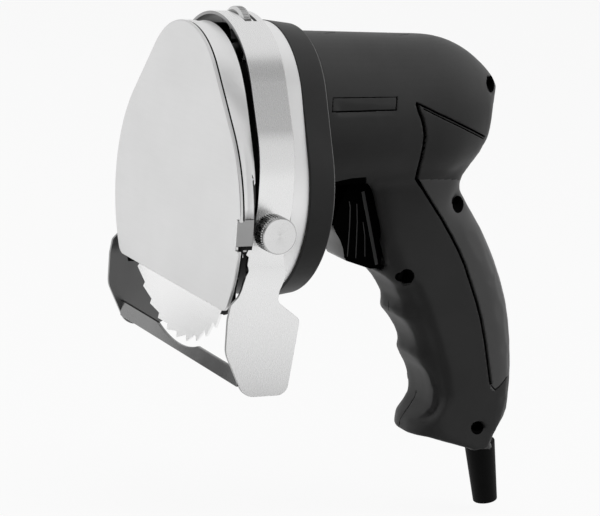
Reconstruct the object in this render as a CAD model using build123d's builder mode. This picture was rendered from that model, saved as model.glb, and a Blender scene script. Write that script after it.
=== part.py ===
import os
from math import acos, asin, cos, pi, radians, sin, sqrt, tan

from build123d import *

# Electric kebab knife: a pistol-shaped motor body drives a round toothed blade through one
# gear stage. Sizes are in millimetres. -Y is the blade side, +X the tool's own left, +Z up.
# The origin lies on the blade axis, in the outer face of the front cover.

# Clearances
running_gap = 0.3          # between pieces that pass each other
shaft_clearance = 0.03     # radial, turning shafts in their bearings
seat_clearance = 0.05      # around fixed pieces in their seats
thread_clearance = 0.06    # radial, screws in their threads
tooth_backlash = 0.16      # along the pitch circle of the gears
match_tolerance = 0.01     # for finding edges by place
blind_end = 0.5            # left beyond the end of a screw in a blind hole

# Gears
gear_module = 1.0
gear_dedendum = 1.25
pinion_teeth = 16
drive_gear_teeth = 64
drive_gear_width = 8.0
pinion_width = 10.0
shaft_overhang = 1.0
pressure_angle = 20.0
gear_hole_count = 6
gear_hole_circle = 19.0
gear_hole_radius = 5.5
gear_end_gap = 3.0
spacer_wall = 1.6
gear_room_gap = 2.0
pinion_room_gap = 6.0

# Blade and what clamps it
blade_radius = 60.0
blade_thickness = 1.2
blade_teeth = 36
blade_tooth_depth = 2.8
blade_front_y = 4.6
nose_radius = 6.0
hub_radius = 13.0
hub_clearance = 1.0
hub_rear_gap = 0.4
hub_shoulder = 1.2
nose_setback = 0.2
blade_washer_radius = 12.0
blade_washer_thickness = 1.2
blade_screw_head_radius = 5.5
blade_screw_head_height = 1.5
blade_screw_radius = 2.5
blade_screw_length = 14.0
blade_screw_key_radius = 2.0
blade_screw_key_depth = 1.0

# Front cover and blade drum, both egg-shaped: (radius, height) of the low and the high circle
cover_margin = 6.0          # of the cover beyond the blade
cover_low = (blade_radius + cover_margin, 0.0)
cover_high = (39.8, 41.0)
cover_thickness = 1.5
cover_cut_z = -34.5
cover_corner_radius = 6.0
cover_edge = 0.3
drum_inset = 3.2
drum_wall = 1.2
drum_rear_y = 8.0
drum_foot_drop = 2.5
side_cut_width = 10.0       # cut at each side of the drum, inwards from the edge of the blade
side_cut_front_y = 4.0
side_cut_top_z = -6.4
skirt_inset = 0.3           # front edge of the drum's sloping skirt, inside the edge of the cover
skirt_low = (54.7, 9.3)
skirt_high = (42.0, 41.6)
skirt_wall = 2.0
skirt_rear_y = 11.9
skirt_foot_z = 6.6
shadow_gap = 0.8
shadow_depth = 0.7

# Gear case with its light ring, the plate behind it and the black collar
case_low = (40.0, 0.0)
case_high = (29.0, 40.0)
case_lip = 3.0
ring_low = (50.6, 9.6)
ring_high = (39.4, 41.0)
ring_front_y = 31.3
ring_rear_y = 39.5
motor_plate_inset = 5.0
motor_plate_thickness = 8.0
plate_hole_gap = 3.0
collar_low = (51.7, 9.6)
collar_high = (39.7, 41.0)
collar_rear_y = 52.6
collar_taper = 1.7
collar_edge = 1.0
collar_lip_wall = 1.5

# Bearings: outer radius, bore radius and width
front_bearing = (13.0, 5.0, 8.0)
small_bearing = (11.0, 4.0, 7.0)
tail_bearing = (9.5, 3.5, 6.0)
bearing_shield_depth = 0.4
bearing_ring_share = 0.22   # ring width over the space between bore and rim

# Motor, sized to the round barrel that it sits in
barrel_radius = 36.0
fan_margin = 11.0
fan_radius = barrel_radius - fan_margin
fan_width = 6.0
fan_blades = 11
fan_disc_thickness = 1.6
fan_hub_radius = 7.5
fan_blade_thickness = 1.4
fan_blade_inner = 9.5
fan_tip_gap = 1.0
fan_end_gap = 1.4
coil_end_gap = 1.0
stator_margin = 9.5
stator_radius = barrel_radius - stator_margin
stator_length = 36.0
stator_ring = 3.5
pole_half_width = 7.0
shoe_margin = 8.3
shoe_outer = stator_radius - shoe_margin
coil_shoe_gap = 0.3
coil_inner = shoe_outer + coil_shoe_gap
coil_thickness = 2.2
coil_half_width = 9.5
shoe_thickness = 2.7
armature_radius = shoe_outer - shoe_thickness
armature_slots = 12
armature_slot = (5.6, 2.4)
winding_inset = 1.5
winding_bore_gap = 0.6
air_gap = 0.5
pole_half_angle = 55.0
commutator_radius = 10.0
commutator_length = 12.0
commutator_bars = 24
commutator_groove = (2.0, 0.5)
commutator_gap = 2.0
tail_gap = 8.0
brush_width = 5.0
brush_height = 6.0
brush_length = 12.0
brush_holder_wall = 1.5
brush_holder_gap = 2.0
holder_margin = 8.0
holder_outer_x = barrel_radius - holder_margin
coil_end_length = 6.0
coil_corner_radius = 2.5

# Pistol body
barrel_rear_y = 154.0
barrel_dome_y = 112.0
barrel_taper = 1.6
dome_flat_radius = 2.5
dome_shape = ((0.55, 0.83), (0.9, 0.5))   # share of the dome's length, share of its radius
housing_wall = 3.0
edge_wall = 4.5
stator_rib_width = 3.0
tail_rib_margin = 7.6
rib_root = 1.2               # left outside the end of a rib or boss in the wall
lip_end_gap = 0.2
barrel_floor_z = 11.0
barrel_floor_wall = 2.0
grip_half_width = 18.0
grip_edge_radius = 13.0
wide_room_skin = 9.0
narrow_room_half = 11.0
finger_groove_depths = (2.6, 3.0, 5.6)
body_screw_places = ((143.0, 54.0), (132.8, 0.0), (108.0, -33.5), (152.5, -106.5))
body_screw_head_radius = 2.9
body_screw_radius = 1.6
body_screw_boss_radius = 4.5
body_screw_recess_radius = 3.3
body_screw_depth = 11.0
body_screw_seat_x = 8.0
body_screw_head_height = 2.2
label_length = 29.0
label_height = 6.5
label_floor_x = 34.2
label_front_y = 58.2
label_low_z = 44.9

# Trigger and switch
trigger_half_width = 9.6
trigger_pin_y = 94.0
trigger_pin_z = 5.6
trigger_pin_radius = 2.0
trigger_pin_seat = 4.0
trigger_boss_wall = 2.5
trigger_back_y = 99.4
trigger_low_z = -30.4
trigger_top_z = 9.8
trigger_foot = ((94.0, -30.6), (80.0, -25.6), (73.5, -24.4))
trigger_front = ((71.2, -21.5), (73.8, -10.0), (76.4, 0.0), (81.5, trigger_top_z))
trigger_side_gap = 0.6
pocket_reach = 8.0
pocket_low_z = -31.4
trigger_rib_depth = 0.7
trigger_rib_count = 4
trigger_rib_middle = (84.5, -11.5)
trigger_rib_pitch = 3.6
trigger_rib_groove = (1.5, 24.0)
plunger_radius = 3.0
plunger_z = -12.4
plunger_travel = 2.8
switch_half_width = 8.5
switch_front_y = 107.0
switch_length = 20.0
switch_low_z = -22.0
switch_high_z = 5.0
switch_rib_pitch = 13.0
switch_rib_width = 3.0
switch_tag = (0.8, 6.0, 5.0)
switch_tag_pitch = 8.0
plunger_well = 4.0

# Cord entry at the foot of the grip
sleeve_axis_y = 164.2
sleeve_axis_z = -118.2
sleeve_tilt = 11.3
sleeve_root_radius = 7.2
sleeve_tip_radius = 5.7
sleeve_length = 30.0
sleeve_neck_radius = 5.6
sleeve_flange_radius = 6.6
sleeve_flange_thickness = 2.4
cord_radius = 3.4
lead_radius = 3.0
lead_bend = 41.0            # along the sleeve's axis, from the foot
lead_bend_radius = 18.0
lead_end_gap = 4.0           # between the inner end of the sleeve and the lead
clamp_place = 28.0          # along the sleeve's axis, from the foot
clamp_half_span = 8.8
clamp_width = 8.0
clamp_thickness = 3.0
clamp_screw_radius = 1.5
clamp_screw_head = (2.6, 1.8)
clamp_screw_depth = 8.0
clamp_screw_edge = 1.0
clamp_boss_wall = 1.6
clamp_corner_radius = 1.5
motor_lead_radius = 1.1
motor_lead_low = (6.0, 0.8)
motor_lead_gap = 0.7

# Depth guide: a steel stirrup over the head with two wide feet, and the bar between them
guide_low = (52.5, 19.0)
guide_high = (42.6, 42.0)
guide_thickness = 1.5
guide_front_y = 14.3
guide_rear_y = 31.0
guide_travel = 2.0
arm_bend_z = -6.5
foot_margin = 4.0           # of the feet beyond the blade, sideways
foot_x = blade_radius + foot_margin
bend_steepness = 17.5 / 11.5   # height of the bend over its step outwards
foot_bend_z = arm_bend_z - bend_steepness * (foot_x - guide_low[0])
foot_drop = 10.2            # of the feet below the blade
foot_low_z = -blade_radius - foot_drop
foot_front_y = -1.9
foot_rear_y = 32.1
# Edges of the guide seen from the side, front edge down and rear edge up: (y, z, corner radius)
guide_front_edge = (
    (guide_front_y, 9.0, 20.0),
    (12.3, -6.2, 8.0),
    (8.7, -13.5, 4.0),
    (8.3, -16.6, 2.5),
    (5.2, -20.8, 6.0),
    (2.6, -26.2, 4.0),
    (-0.9, -29.6, 2.5),
    (foot_front_y, -36.0, 8.0),
    (foot_front_y, -50.5, 12.0),
    (7.9, foot_low_z, 8.0),
)
guide_rear_edge = (
    (28.2, foot_low_z, 5.0),
    (foot_rear_y, -37.2, 3.2),
    (21.0, -29.0, 3.0),
    (21.6, -24.0, 4.0),
    (27.2, -14.0, 8.0),
    (guide_rear_y, 9.0, 20.0),
)
bar_drop = 5.7              # of the bar below the blade
bar_height = 7.2
bar_low_z = -blade_radius - bar_drop
bar_high_z = bar_low_z + bar_height
bar_front_y = 4.8
bar_thickness = 1.5
bar_notch_gap = 2.4

# Adjusting wheel and the threaded stud that it turns on
wheel_radius = 13.0
wheel_thickness = 5.0
wheel_z = 74.0
wheel_slot_half = 13.0
wheel_rear_y = 27.4
wheel_knurls = 48
wheel_pocket_gap = 1.2
knurl_share = 0.62
knurl_depth = 0.5
stud_radius = 3.0
stud_lug_wall = 3.0
stud_end_gap = 0.2
stud_blind_depth = 2.0

# Thumb screws and the clips that they hold
thumb_screw_y = 18.5
thumb_knob_radius = 8.0
thumb_knob_length = 9.6
thumb_collar_radius = 5.5
thumb_collar_length = 4.4
thumb_shank_radius = 3.0
thumb_knurls = 36
thumb_shank_depth = 7.0
thumb_boss_radius = 7.5
clip_thickness = 1.4
clip_half_height = 5.8
clip_lip = 2.0
clip_notch_gap = 0.4

# Small fasteners
case_screw_radius = 2.0
case_screw_head_radius = 3.5
case_screw_head_height = 2.5
case_screw_reach = 6.7
case_screw_places = ((-38.0, -3.0), (38.0, -3.0), (-27.0, 50.0), (27.0, 50.0))
drum_screw_radius = 2.0
drum_screw_head_radius = 3.6
drum_screw_depth = 4.0
drum_screw_places = ((-26.0, 5.0), (26.0, 5.0), (-22.0, 36.0), (22.0, 36.0))

# Worked-out places
blade_rear_y = blade_front_y + blade_thickness
motor_axis_z = gear_module * (pinion_teeth + drive_gear_teeth) / 2
drum_floor_y = drum_rear_y - drum_wall
case_front_y = drum_rear_y
front_bearing_y = case_front_y + case_lip
gear_room_front_y = front_bearing_y + front_bearing[2]
drive_gear_y = gear_room_front_y + gear_end_gap
gear_mid_y = drive_gear_y + drive_gear_width / 2
plate_front_y = ring_rear_y
case_screw_front_y = ring_rear_y - case_screw_reach
plate_rear_y = plate_front_y + motor_plate_thickness
small_bearing_y = plate_rear_y - small_bearing[2]
fan_front_y = collar_rear_y + fan_end_gap
stator_front_y = fan_front_y + fan_width + coil_end_gap + coil_end_length
stator_rear_y = stator_front_y + stator_length
commutator_front_y = stator_rear_y + coil_end_length + commutator_gap
tail_bearing_y = commutator_front_y + commutator_length + tail_gap
wheel_front_y = wheel_rear_y - wheel_thickness
stud_hole_depth = ring_rear_y - case_front_y - stud_blind_depth
arm_x = guide_low[0]
arm_inner_x = arm_x - guide_thickness
clip_outer_x = arm_inner_x - running_gap
boss_end_x = clip_outer_x - clip_thickness
knob_seat_x = arm_x + running_gap
clip_leg_x = cover_low[0] - drum_inset + running_gap + clip_thickness / 2
clip_leg_y = drum_rear_y + running_gap + clip_thickness / 2


def front_plane(y):
    """Upright plane at depth y that faces the blade side, with X to the right and Z up."""
    return Plane(origin=(0, y, 0), x_dir=(1, 0, 0), z_dir=(0, -1, 0))


def side_plane(x):
    """Upright plane at x that faces left, with Y to the right and Z up."""
    return Plane(origin=(x, 0, 0), x_dir=(0, 1, 0), z_dir=(1, 0, 0))


def inset(circle, amount):
    """The same (radius, height) circle with its radius made smaller."""
    return (circle[0] - amount, circle[1])


def egg(low, high):
    """Face inside two circles, each (radius, height), and their outer tangents."""
    low_radius, low_z = low
    high_radius, high_z = high
    tilt = asin((low_radius - high_radius) / (high_z - low_z))
    low_x, low_rise = low_radius * cos(tilt), low_radius * sin(tilt)
    high_x, high_rise = high_radius * cos(tilt), high_radius * sin(tilt)
    with BuildLine() as outline:
        Line((low_x, low_z + low_rise), (high_x, high_z + high_rise))
        high_end_z = high_z + high_rise
        ThreePointArc((high_x, high_end_z), (0, high_z + high_radius), (-high_x, high_end_z))
        Line((-high_x, high_z + high_rise), (-low_x, low_z + low_rise))
        ThreePointArc((-low_x, low_z + low_rise), (0, low_z - low_radius), (low_x, low_z + low_rise))
    make_face(outline.edges())


def disc(y, z, radius, depth, mode=Mode.ADD):
    """Round boss or hole along Y, from y back by depth."""
    with BuildSketch(front_plane(y)) as face:
        with Locations((0, z)):
            Circle(radius)
    extrude(face.sketch, amount=-depth, mode=mode)


def tooth_angles(count, phase):
    """Angles, in degrees, at the middle of each tooth."""
    return [phase + 360.0 * index / count for index in range(count)]


def involute_profile(teeth, phase):
    """Points round a spur gear, from its base to its tip on each flank."""
    pitch_radius = gear_module * teeth / 2
    base_radius = pitch_radius * cos(radians(pressure_angle))
    tip_radius = pitch_radius + gear_module
    root_radius = pitch_radius - gear_dedendum * gear_module
    half_tooth = (pi * gear_module / 2 - tooth_backlash) / (2 * pitch_radius)
    involute_at_pitch = tan(radians(pressure_angle)) - radians(pressure_angle)
    start_radius = max(base_radius, root_radius)
    flank_steps = 4
    flank = []
    for step in range(flank_steps + 1):
        radius = start_radius + (tip_radius - start_radius) * step / flank_steps
        turn = acos(min(1.0, base_radius / radius))
        flank.append((radius, half_tooth + involute_at_pitch - (tan(turn) - turn)))
    points = []
    for middle in tooth_angles(teeth, phase):
        centre = radians(middle)
        rising = [(root_radius, flank[0][1])] + flank
        for radius, half in rising:
            points.append((radius * cos(centre - half), radius * sin(centre - half)))
        for radius, half in reversed(rising):
            points.append((radius * cos(centre + half), radius * sin(centre + half)))
    return points


def spur_gear(teeth, phase, y, z, width, bore):
    """Spur gear about a Y axis, with its bore."""
    with BuildSketch(front_plane(y)) as face:
        with Locations((0, z)):
            Polygon(*involute_profile(teeth, phase), align=None)
            Circle(bore, mode=Mode.SUBTRACT)
    extrude(face.sketch, amount=-width)


def ball_bearing(size, y, z):
    """Sealed ball bearing about a Y axis, with a shallow shield recess in each face."""
    outer_radius, bore_radius, width = size
    ring = (outer_radius - bore_radius) * bearing_ring_share
    disc(y, z, outer_radius, width)
    disc(y, z, bore_radius, width, mode=Mode.SUBTRACT)
    for face_y in (y, y + width - bearing_shield_depth):
        with BuildSketch(front_plane(face_y)) as shield:
            with Locations((0, z)):
                Circle(outer_radius - ring)
                Circle(bore_radius + ring, mode=Mode.SUBTRACT)
        extrude(shield.sketch, amount=-bearing_shield_depth, mode=Mode.SUBTRACT)


def knurled_disc(radius, knurls):
    """Face of a knurled rim: a circle with shallow round nicks."""
    Circle(radius)
    nick = pi * radius / knurls * knurl_share
    with PolarLocations(radius + nick - knurl_depth, knurls):
        Circle(nick, mode=Mode.SUBTRACT)


def save(piece, name):
    """Label a finished piece and write it under its own name."""
    piece.part.label = name
    export_step(piece.part, f"parts/{name}.step")


# Front cover: a flat plate, notched at each side for the clip that holds it
with BuildPart() as front_cover:
    with BuildSketch(front_plane(0)) as cover_face:
        egg(cover_low, cover_high)
        with Locations((0, cover_cut_z)):
            Rectangle(
                4 * cover_low[0],
                2 * cover_low[0],
                align=(Align.CENTER, Align.MAX),
                mode=Mode.SUBTRACT,
            )
        fillet(cover_face.vertices().group_by(Axis.Y)[0], radius=cover_corner_radius)
        with Locations((clip_leg_x - clip_thickness / 2 - clip_notch_gap, 0)):
            Rectangle(
                cover_low[0],
                2 * (clip_half_height + clip_notch_gap),
                align=(Align.MIN, Align.CENTER),
                mode=Mode.SUBTRACT,
            )
    extrude(amount=-cover_thickness)
    chamfer(front_cover.faces().sort_by(Axis.Y)[0].outer_wire().edges(), length=cover_edge)
save(front_cover, "front_cover")

# Blade drum: a shallow pan behind the cover, open at the foot and low at both sides, with a sloping skirt
drum_low = inset(cover_low, drum_inset)
drum_high = inset(cover_high, drum_inset)
drum_foot_z = cover_cut_z - drum_foot_drop
with BuildPart() as skirt:
    with BuildSketch(front_plane(cover_thickness + shadow_gap)):
        egg(inset(cover_low, skirt_inset), inset(cover_high, skirt_inset))
    with BuildSketch(front_plane(skirt_rear_y)):
        egg(skirt_low, skirt_high)
    loft()
    with BuildSketch(front_plane(drum_rear_y)):
        egg(inset(skirt_low, skirt_wall), inset(skirt_high, skirt_wall))
    extrude(amount=-skirt_rear_y, mode=Mode.SUBTRACT)
    with BuildSketch(front_plane(0)):
        with Locations((0, skirt_foot_z)):
            Rectangle(4 * cover_low[0], 4 * cover_low[0], align=(Align.CENTER, Align.MAX))
    extrude(amount=-2 * skirt_rear_y, mode=Mode.SUBTRACT)

with BuildPart() as blade_drum:
    with BuildSketch(front_plane(cover_thickness)):
        egg(inset(drum_low, shadow_depth), inset(drum_high, shadow_depth))
    extrude(amount=-shadow_gap)
    with BuildSketch(front_plane(cover_thickness + shadow_gap)):
        egg(drum_low, drum_high)
    extrude(amount=-(drum_rear_y - cover_thickness - shadow_gap))
    add(skirt.part)
    with BuildSketch(front_plane(cover_thickness)):
        egg(inset(drum_low, drum_wall), inset(drum_high, drum_wall))
    extrude(amount=-(drum_floor_y - cover_thickness), mode=Mode.SUBTRACT)
    disc(drum_floor_y, 0, hub_radius + hub_clearance, drum_wall, mode=Mode.SUBTRACT)
    with BuildSketch(front_plane(0)):
        with Locations((0, drum_foot_z)):
            Rectangle(4 * cover_low[0], 2 * cover_low[0], align=(Align.CENTER, Align.MAX))
    extrude(amount=-2 * drum_rear_y, mode=Mode.SUBTRACT)
    for side in (-1, 1):
        with BuildSketch(front_plane(side_cut_front_y)):
            with Locations((side * (blade_radius - side_cut_width), side_cut_top_z)):
                inner_edge = Align.MIN if side > 0 else Align.MAX
                Rectangle(cover_low[0], cover_low[0], align=(inner_edge, Align.MAX))
        extrude(amount=-drum_rear_y, mode=Mode.SUBTRACT)
    for place in drum_screw_places:
        with BuildSketch(front_plane(drum_floor_y)):
            with Locations(place):
                Circle(drum_screw_head_radius + seat_clearance)
        with BuildSketch(front_plane(drum_rear_y)):
            with Locations(place):
                Circle(drum_screw_radius + seat_clearance)
        loft(mode=Mode.SUBTRACT)
save(blade_drum, "blade_drum")

# Countersunk screws that hold the drum to the gear case
with BuildPart() as drum_screws:
    for place in drum_screw_places:
        with BuildSketch(front_plane(drum_floor_y)):
            with Locations(place):
                Circle(drum_screw_head_radius)
        with BuildSketch(front_plane(drum_rear_y)):
            with Locations(place):
                Circle(drum_screw_radius)
        loft()
        with BuildSketch(front_plane(drum_rear_y)):
            with Locations(place):
                Circle(drum_screw_radius)
        extrude(amount=-drum_screw_depth)
save(drum_screws, "drum_screws")

# Toothed blade: each tooth has a radial face towards -X at the foot and a sloping back
blade_outline = []
for angle in tooth_angles(blade_teeth, -90.0):
    for radius in (blade_radius - blade_tooth_depth, blade_radius):
        blade_outline.append((radius * cos(radians(angle)), radius * sin(radians(angle))))
with BuildPart() as blade:
    with BuildSketch(front_plane(blade_front_y)):
        Polygon(*blade_outline, align=None)
        Circle(nose_radius + seat_clearance, mode=Mode.SUBTRACT)
    extrude(amount=-blade_thickness)
save(blade, "blade")

# Spindle: hub flange behind the blade, nose through it, shaft back to the motor plate
spindle_rear_y = small_bearing_y + small_bearing[2]
with BuildPart() as spindle:
    disc(blade_front_y + nose_setback, 0, nose_radius, blade_thickness)
    disc(blade_rear_y, 0, hub_radius, front_bearing_y - blade_rear_y - hub_rear_gap)
    disc(front_bearing_y - hub_rear_gap, 0, front_bearing[1] + hub_shoulder, hub_rear_gap)
    disc(front_bearing_y, 0, front_bearing[1] - shaft_clearance, small_bearing_y - front_bearing_y)
    disc(small_bearing_y, 0, small_bearing[1] - shaft_clearance, spindle_rear_y - small_bearing_y)
    disc(blade_front_y, 0, blade_screw_radius + thread_clearance, blade_screw_length, mode=Mode.SUBTRACT)
save(spindle, "spindle")

# Washer and screw that clamp the blade
with BuildPart() as blade_washer:
    disc(blade_front_y - blade_washer_thickness, 0, blade_washer_radius, blade_washer_thickness)
    disc(
        blade_front_y - blade_washer_thickness,
        0,
        blade_screw_radius + seat_clearance,
        blade_washer_thickness,
        mode=Mode.SUBTRACT,
    )
save(blade_washer, "blade_washer")

blade_screw_front_y = blade_front_y - blade_washer_thickness - blade_screw_head_height
with BuildPart() as blade_screw:
    disc(blade_screw_front_y, 0, blade_screw_head_radius, blade_screw_head_height)
    disc(blade_front_y - blade_washer_thickness, 0, blade_screw_radius, blade_screw_length)
    with BuildSketch(front_plane(blade_screw_front_y)):
        RegularPolygon(blade_screw_key_radius, 6)
    extrude(amount=-blade_screw_key_depth, mode=Mode.SUBTRACT)
save(blade_screw, "blade_screw")

# Drive gear on the spindle, pinion on the motor shaft
with BuildPart() as drive_gear:
    spur_gear(
        drive_gear_teeth,
        90.0,
        drive_gear_y,
        0,
        drive_gear_width,
        front_bearing[1] - shaft_clearance + seat_clearance,
    )
    with BuildSketch(front_plane(drive_gear_y)):
        with PolarLocations(gear_hole_circle, gear_hole_count):
            Circle(gear_hole_radius)
    extrude(amount=-drive_gear_width, mode=Mode.SUBTRACT)
save(drive_gear, "drive_gear")

pinion_y = gear_mid_y - pinion_width / 2
shaft_radius = small_bearing[1] - shaft_clearance
with BuildPart() as pinion:
    spur_gear(
        pinion_teeth,
        90.0 + 180.0 / pinion_teeth,
        pinion_y,
        motor_axis_z,
        pinion_width,
        shaft_radius + seat_clearance,
    )
save(pinion, "pinion")

# Spacer that keeps the drive gear off the front bearing, and the one behind it
spacer_outer = front_bearing[1] + spacer_wall
spacer_bore = front_bearing[1] - shaft_clearance + seat_clearance
with BuildPart() as gear_spacers:
    spans = (
        (gear_room_front_y, drive_gear_y - gear_room_front_y),
        (drive_gear_y + drive_gear_width, small_bearing_y - drive_gear_y - drive_gear_width),
    )
    for spacer_y, spacer_length in spans:
        with BuildSketch(front_plane(spacer_y)):
            Circle(spacer_outer)
            Circle(spacer_bore, mode=Mode.SUBTRACT)
        extrude(amount=-spacer_length)
save(gear_spacers, "gear_spacers")

# Gear case: an egg-shaped pot with the light ring at its rear
gear_room_radius = gear_module * (drive_gear_teeth / 2 + 1) + gear_room_gap
pinion_room_radius = gear_module * (pinion_teeth / 2 + 1) + pinion_room_gap
wheel_pocket_half = wheel_radius + wheel_pocket_gap
with BuildPart() as gear_case:
    with BuildSketch(front_plane(case_front_y)):
        egg(case_low, case_high)
    extrude(amount=-(ring_rear_y - case_front_y))
    with BuildSketch(front_plane(ring_front_y)):
        egg(ring_low, ring_high)
    extrude(amount=-(ring_rear_y - ring_front_y))
    for side in (-1, 1):
        with BuildSketch(side_plane(0)):
            with Locations((thumb_screw_y, 0)):
                Circle(thumb_boss_radius)
        extrude(amount=side * boss_end_x)
    with BuildSketch(front_plane(case_front_y)):
        with Locations((0, wheel_z)):
            Circle(stud_radius + stud_lug_wall)
            Rectangle(
                2 * (stud_radius + stud_lug_wall),
                wheel_z - motor_axis_z,
                align=(Align.CENTER, Align.MAX),
            )
    extrude(amount=-(ring_front_y - case_front_y))
    with BuildSketch(front_plane(gear_room_front_y)):
        Circle(gear_room_radius)
        with Locations((0, motor_axis_z)):
            Circle(pinion_room_radius)
    extrude(amount=-(ring_rear_y - gear_room_front_y), mode=Mode.SUBTRACT)
    disc(case_front_y, 0, hub_radius + hub_clearance, front_bearing_y - case_front_y, mode=Mode.SUBTRACT)
    disc(front_bearing_y, 0, front_bearing[0] + seat_clearance, front_bearing[2], mode=Mode.SUBTRACT)
    with BuildSketch(front_plane(wheel_front_y - guide_travel - wheel_pocket_gap)):
        with Locations((0, wheel_z)):
            Rectangle(2 * wheel_pocket_half, 2 * wheel_pocket_half)
    extrude(amount=-(wheel_thickness + guide_travel + 2 * wheel_pocket_gap), mode=Mode.SUBTRACT)
    disc(case_front_y, wheel_z, stud_radius + seat_clearance, stud_hole_depth, mode=Mode.SUBTRACT)
    for side in (-1, 1):
        with BuildSketch(side_plane(side * (boss_end_x - thumb_shank_depth))):
            with Locations((thumb_screw_y, 0)):
                Circle(thumb_shank_radius + thread_clearance)
        extrude(amount=side * thumb_shank_depth, mode=Mode.SUBTRACT)
    for place in drum_screw_places:
        with BuildSketch(front_plane(case_front_y)):
            with Locations(place):
                Circle(drum_screw_radius + thread_clearance)
        extrude(amount=-(drum_screw_depth + blind_end), mode=Mode.SUBTRACT)
    with BuildSketch(front_plane(case_screw_front_y - blind_end)):
        with Locations(*case_screw_places):
            Circle(case_screw_radius + thread_clearance)
    extrude(amount=-(ring_rear_y - case_screw_front_y + blind_end), mode=Mode.SUBTRACT)
save(gear_case, "gear_case")

# Motor plate: closes the gear case and carries two bearings
with BuildPart() as motor_plate:
    with BuildSketch(front_plane(plate_front_y)):
        egg(inset(collar_low, motor_plate_inset), inset(collar_high, motor_plate_inset))
    extrude(amount=-motor_plate_thickness)
    for axis_z in (0, motor_axis_z):
        plate_hole_radius = small_bearing[1] + plate_hole_gap
        plate_seat_radius = small_bearing[0] + seat_clearance
        disc(plate_front_y, axis_z, plate_hole_radius, motor_plate_thickness, mode=Mode.SUBTRACT)
        disc(small_bearing_y, axis_z, plate_seat_radius, small_bearing[2], mode=Mode.SUBTRACT)
    with BuildSketch(front_plane(plate_front_y)):
        with Locations(*case_screw_places):
            Circle(case_screw_radius + seat_clearance)
    extrude(amount=-motor_plate_thickness, mode=Mode.SUBTRACT)
save(motor_plate, "motor_plate")

# Screws from the motor plate into the gear case
with BuildPart() as case_screws:
    with BuildSketch(front_plane(case_screw_front_y)):
        with Locations(*case_screw_places):
            Circle(case_screw_radius)
    extrude(amount=-(plate_rear_y - case_screw_front_y))
    with BuildSketch(front_plane(plate_rear_y)):
        with Locations(*case_screw_places):
            Circle(case_screw_head_radius)
    extrude(amount=-case_screw_head_height)
save(case_screws, "case_screws")

# Bearings
with BuildPart() as spindle_front_bearing:
    ball_bearing(front_bearing, front_bearing_y, 0)
save(spindle_front_bearing, "spindle_front_bearing")

with BuildPart() as spindle_rear_bearing:
    ball_bearing(small_bearing, small_bearing_y, 0)
save(spindle_rear_bearing, "spindle_rear_bearing")

with BuildPart() as motor_front_bearing:
    ball_bearing(small_bearing, small_bearing_y, motor_axis_z)
save(motor_front_bearing, "motor_front_bearing")

with BuildPart() as motor_rear_bearing:
    ball_bearing(tail_bearing, tail_bearing_y, motor_axis_z)
save(motor_rear_bearing, "motor_rear_bearing")

# Collar: the black egg-shaped shroud between gear case and barrel
collar_wall_y = plate_rear_y + case_screw_head_height + running_gap
collar_mouth_radius = fan_radius + fan_tip_gap + collar_lip_wall
with BuildPart() as front_collar:
    with BuildSketch(front_plane(ring_rear_y)):
        egg(collar_low, collar_high)
    with BuildSketch(front_plane(collar_rear_y)):
        egg(inset(collar_low, collar_taper), inset(collar_high, collar_taper))
    loft()
    chamfer(front_collar.faces().sort_by(Axis.Y)[-1].outer_wire().edges(), length=collar_edge)
    with BuildSketch(front_plane(ring_rear_y)):
        egg(
            inset(collar_low, motor_plate_inset - seat_clearance),
            inset(collar_high, motor_plate_inset - seat_clearance),
        )
    extrude(amount=-(collar_wall_y - ring_rear_y), mode=Mode.SUBTRACT)
    collar_mouth_depth = collar_rear_y - collar_wall_y
    disc(collar_wall_y, motor_axis_z, collar_mouth_radius, collar_mouth_depth, mode=Mode.SUBTRACT)
save(front_collar, "front_collar")

# Motor: shaft, fan, armature, windings and commutator turn together
shaft_front_y = pinion_y - shaft_overhang
shaft_rear_y = tail_bearing_y + tail_bearing[2]
with BuildPart() as motor_shaft:
    disc(shaft_front_y, motor_axis_z, shaft_radius, tail_bearing_y - shaft_front_y)
    disc(tail_bearing_y, motor_axis_z, tail_bearing[1] - shaft_clearance, shaft_rear_y - tail_bearing_y)
save(motor_shaft, "motor_shaft")

with BuildPart() as cooling_fan:
    with BuildSketch(front_plane(fan_front_y)):
        with Locations((0, motor_axis_z)):
            Circle(fan_radius)
            Circle(shaft_radius + seat_clearance, mode=Mode.SUBTRACT)
    extrude(amount=-fan_disc_thickness)
    with BuildSketch(front_plane(fan_front_y)):
        with Locations((0, motor_axis_z)):
            Circle(fan_hub_radius)
            Circle(shaft_radius + seat_clearance, mode=Mode.SUBTRACT)
            with PolarLocations((fan_radius + fan_blade_inner) / 2 - fan_blade_thickness / 2, fan_blades):
                Rectangle(fan_radius - fan_blade_inner, fan_blade_thickness)
    extrude(amount=-fan_width)
save(cooling_fan, "cooling_fan")

with BuildPart() as armature:
    with BuildSketch(front_plane(stator_front_y)):
        with Locations((0, motor_axis_z)):
            Circle(armature_radius)
            Circle(shaft_radius + seat_clearance, mode=Mode.SUBTRACT)
            with PolarLocations(armature_radius - armature_slot[0] / 2, armature_slots):
                Rectangle(*armature_slot, mode=Mode.SUBTRACT)
    extrude(amount=-stator_length)
save(armature, "armature")

with BuildPart() as armature_windings:
    for end_y in (stator_front_y - coil_end_length, stator_rear_y):
        with BuildSketch(front_plane(end_y)):
            with Locations((0, motor_axis_z)):
                Circle(armature_radius - winding_inset)
                Circle(shaft_radius + winding_bore_gap, mode=Mode.SUBTRACT)
        extrude(amount=-coil_end_length)
save(armature_windings, "armature_windings")

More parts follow.
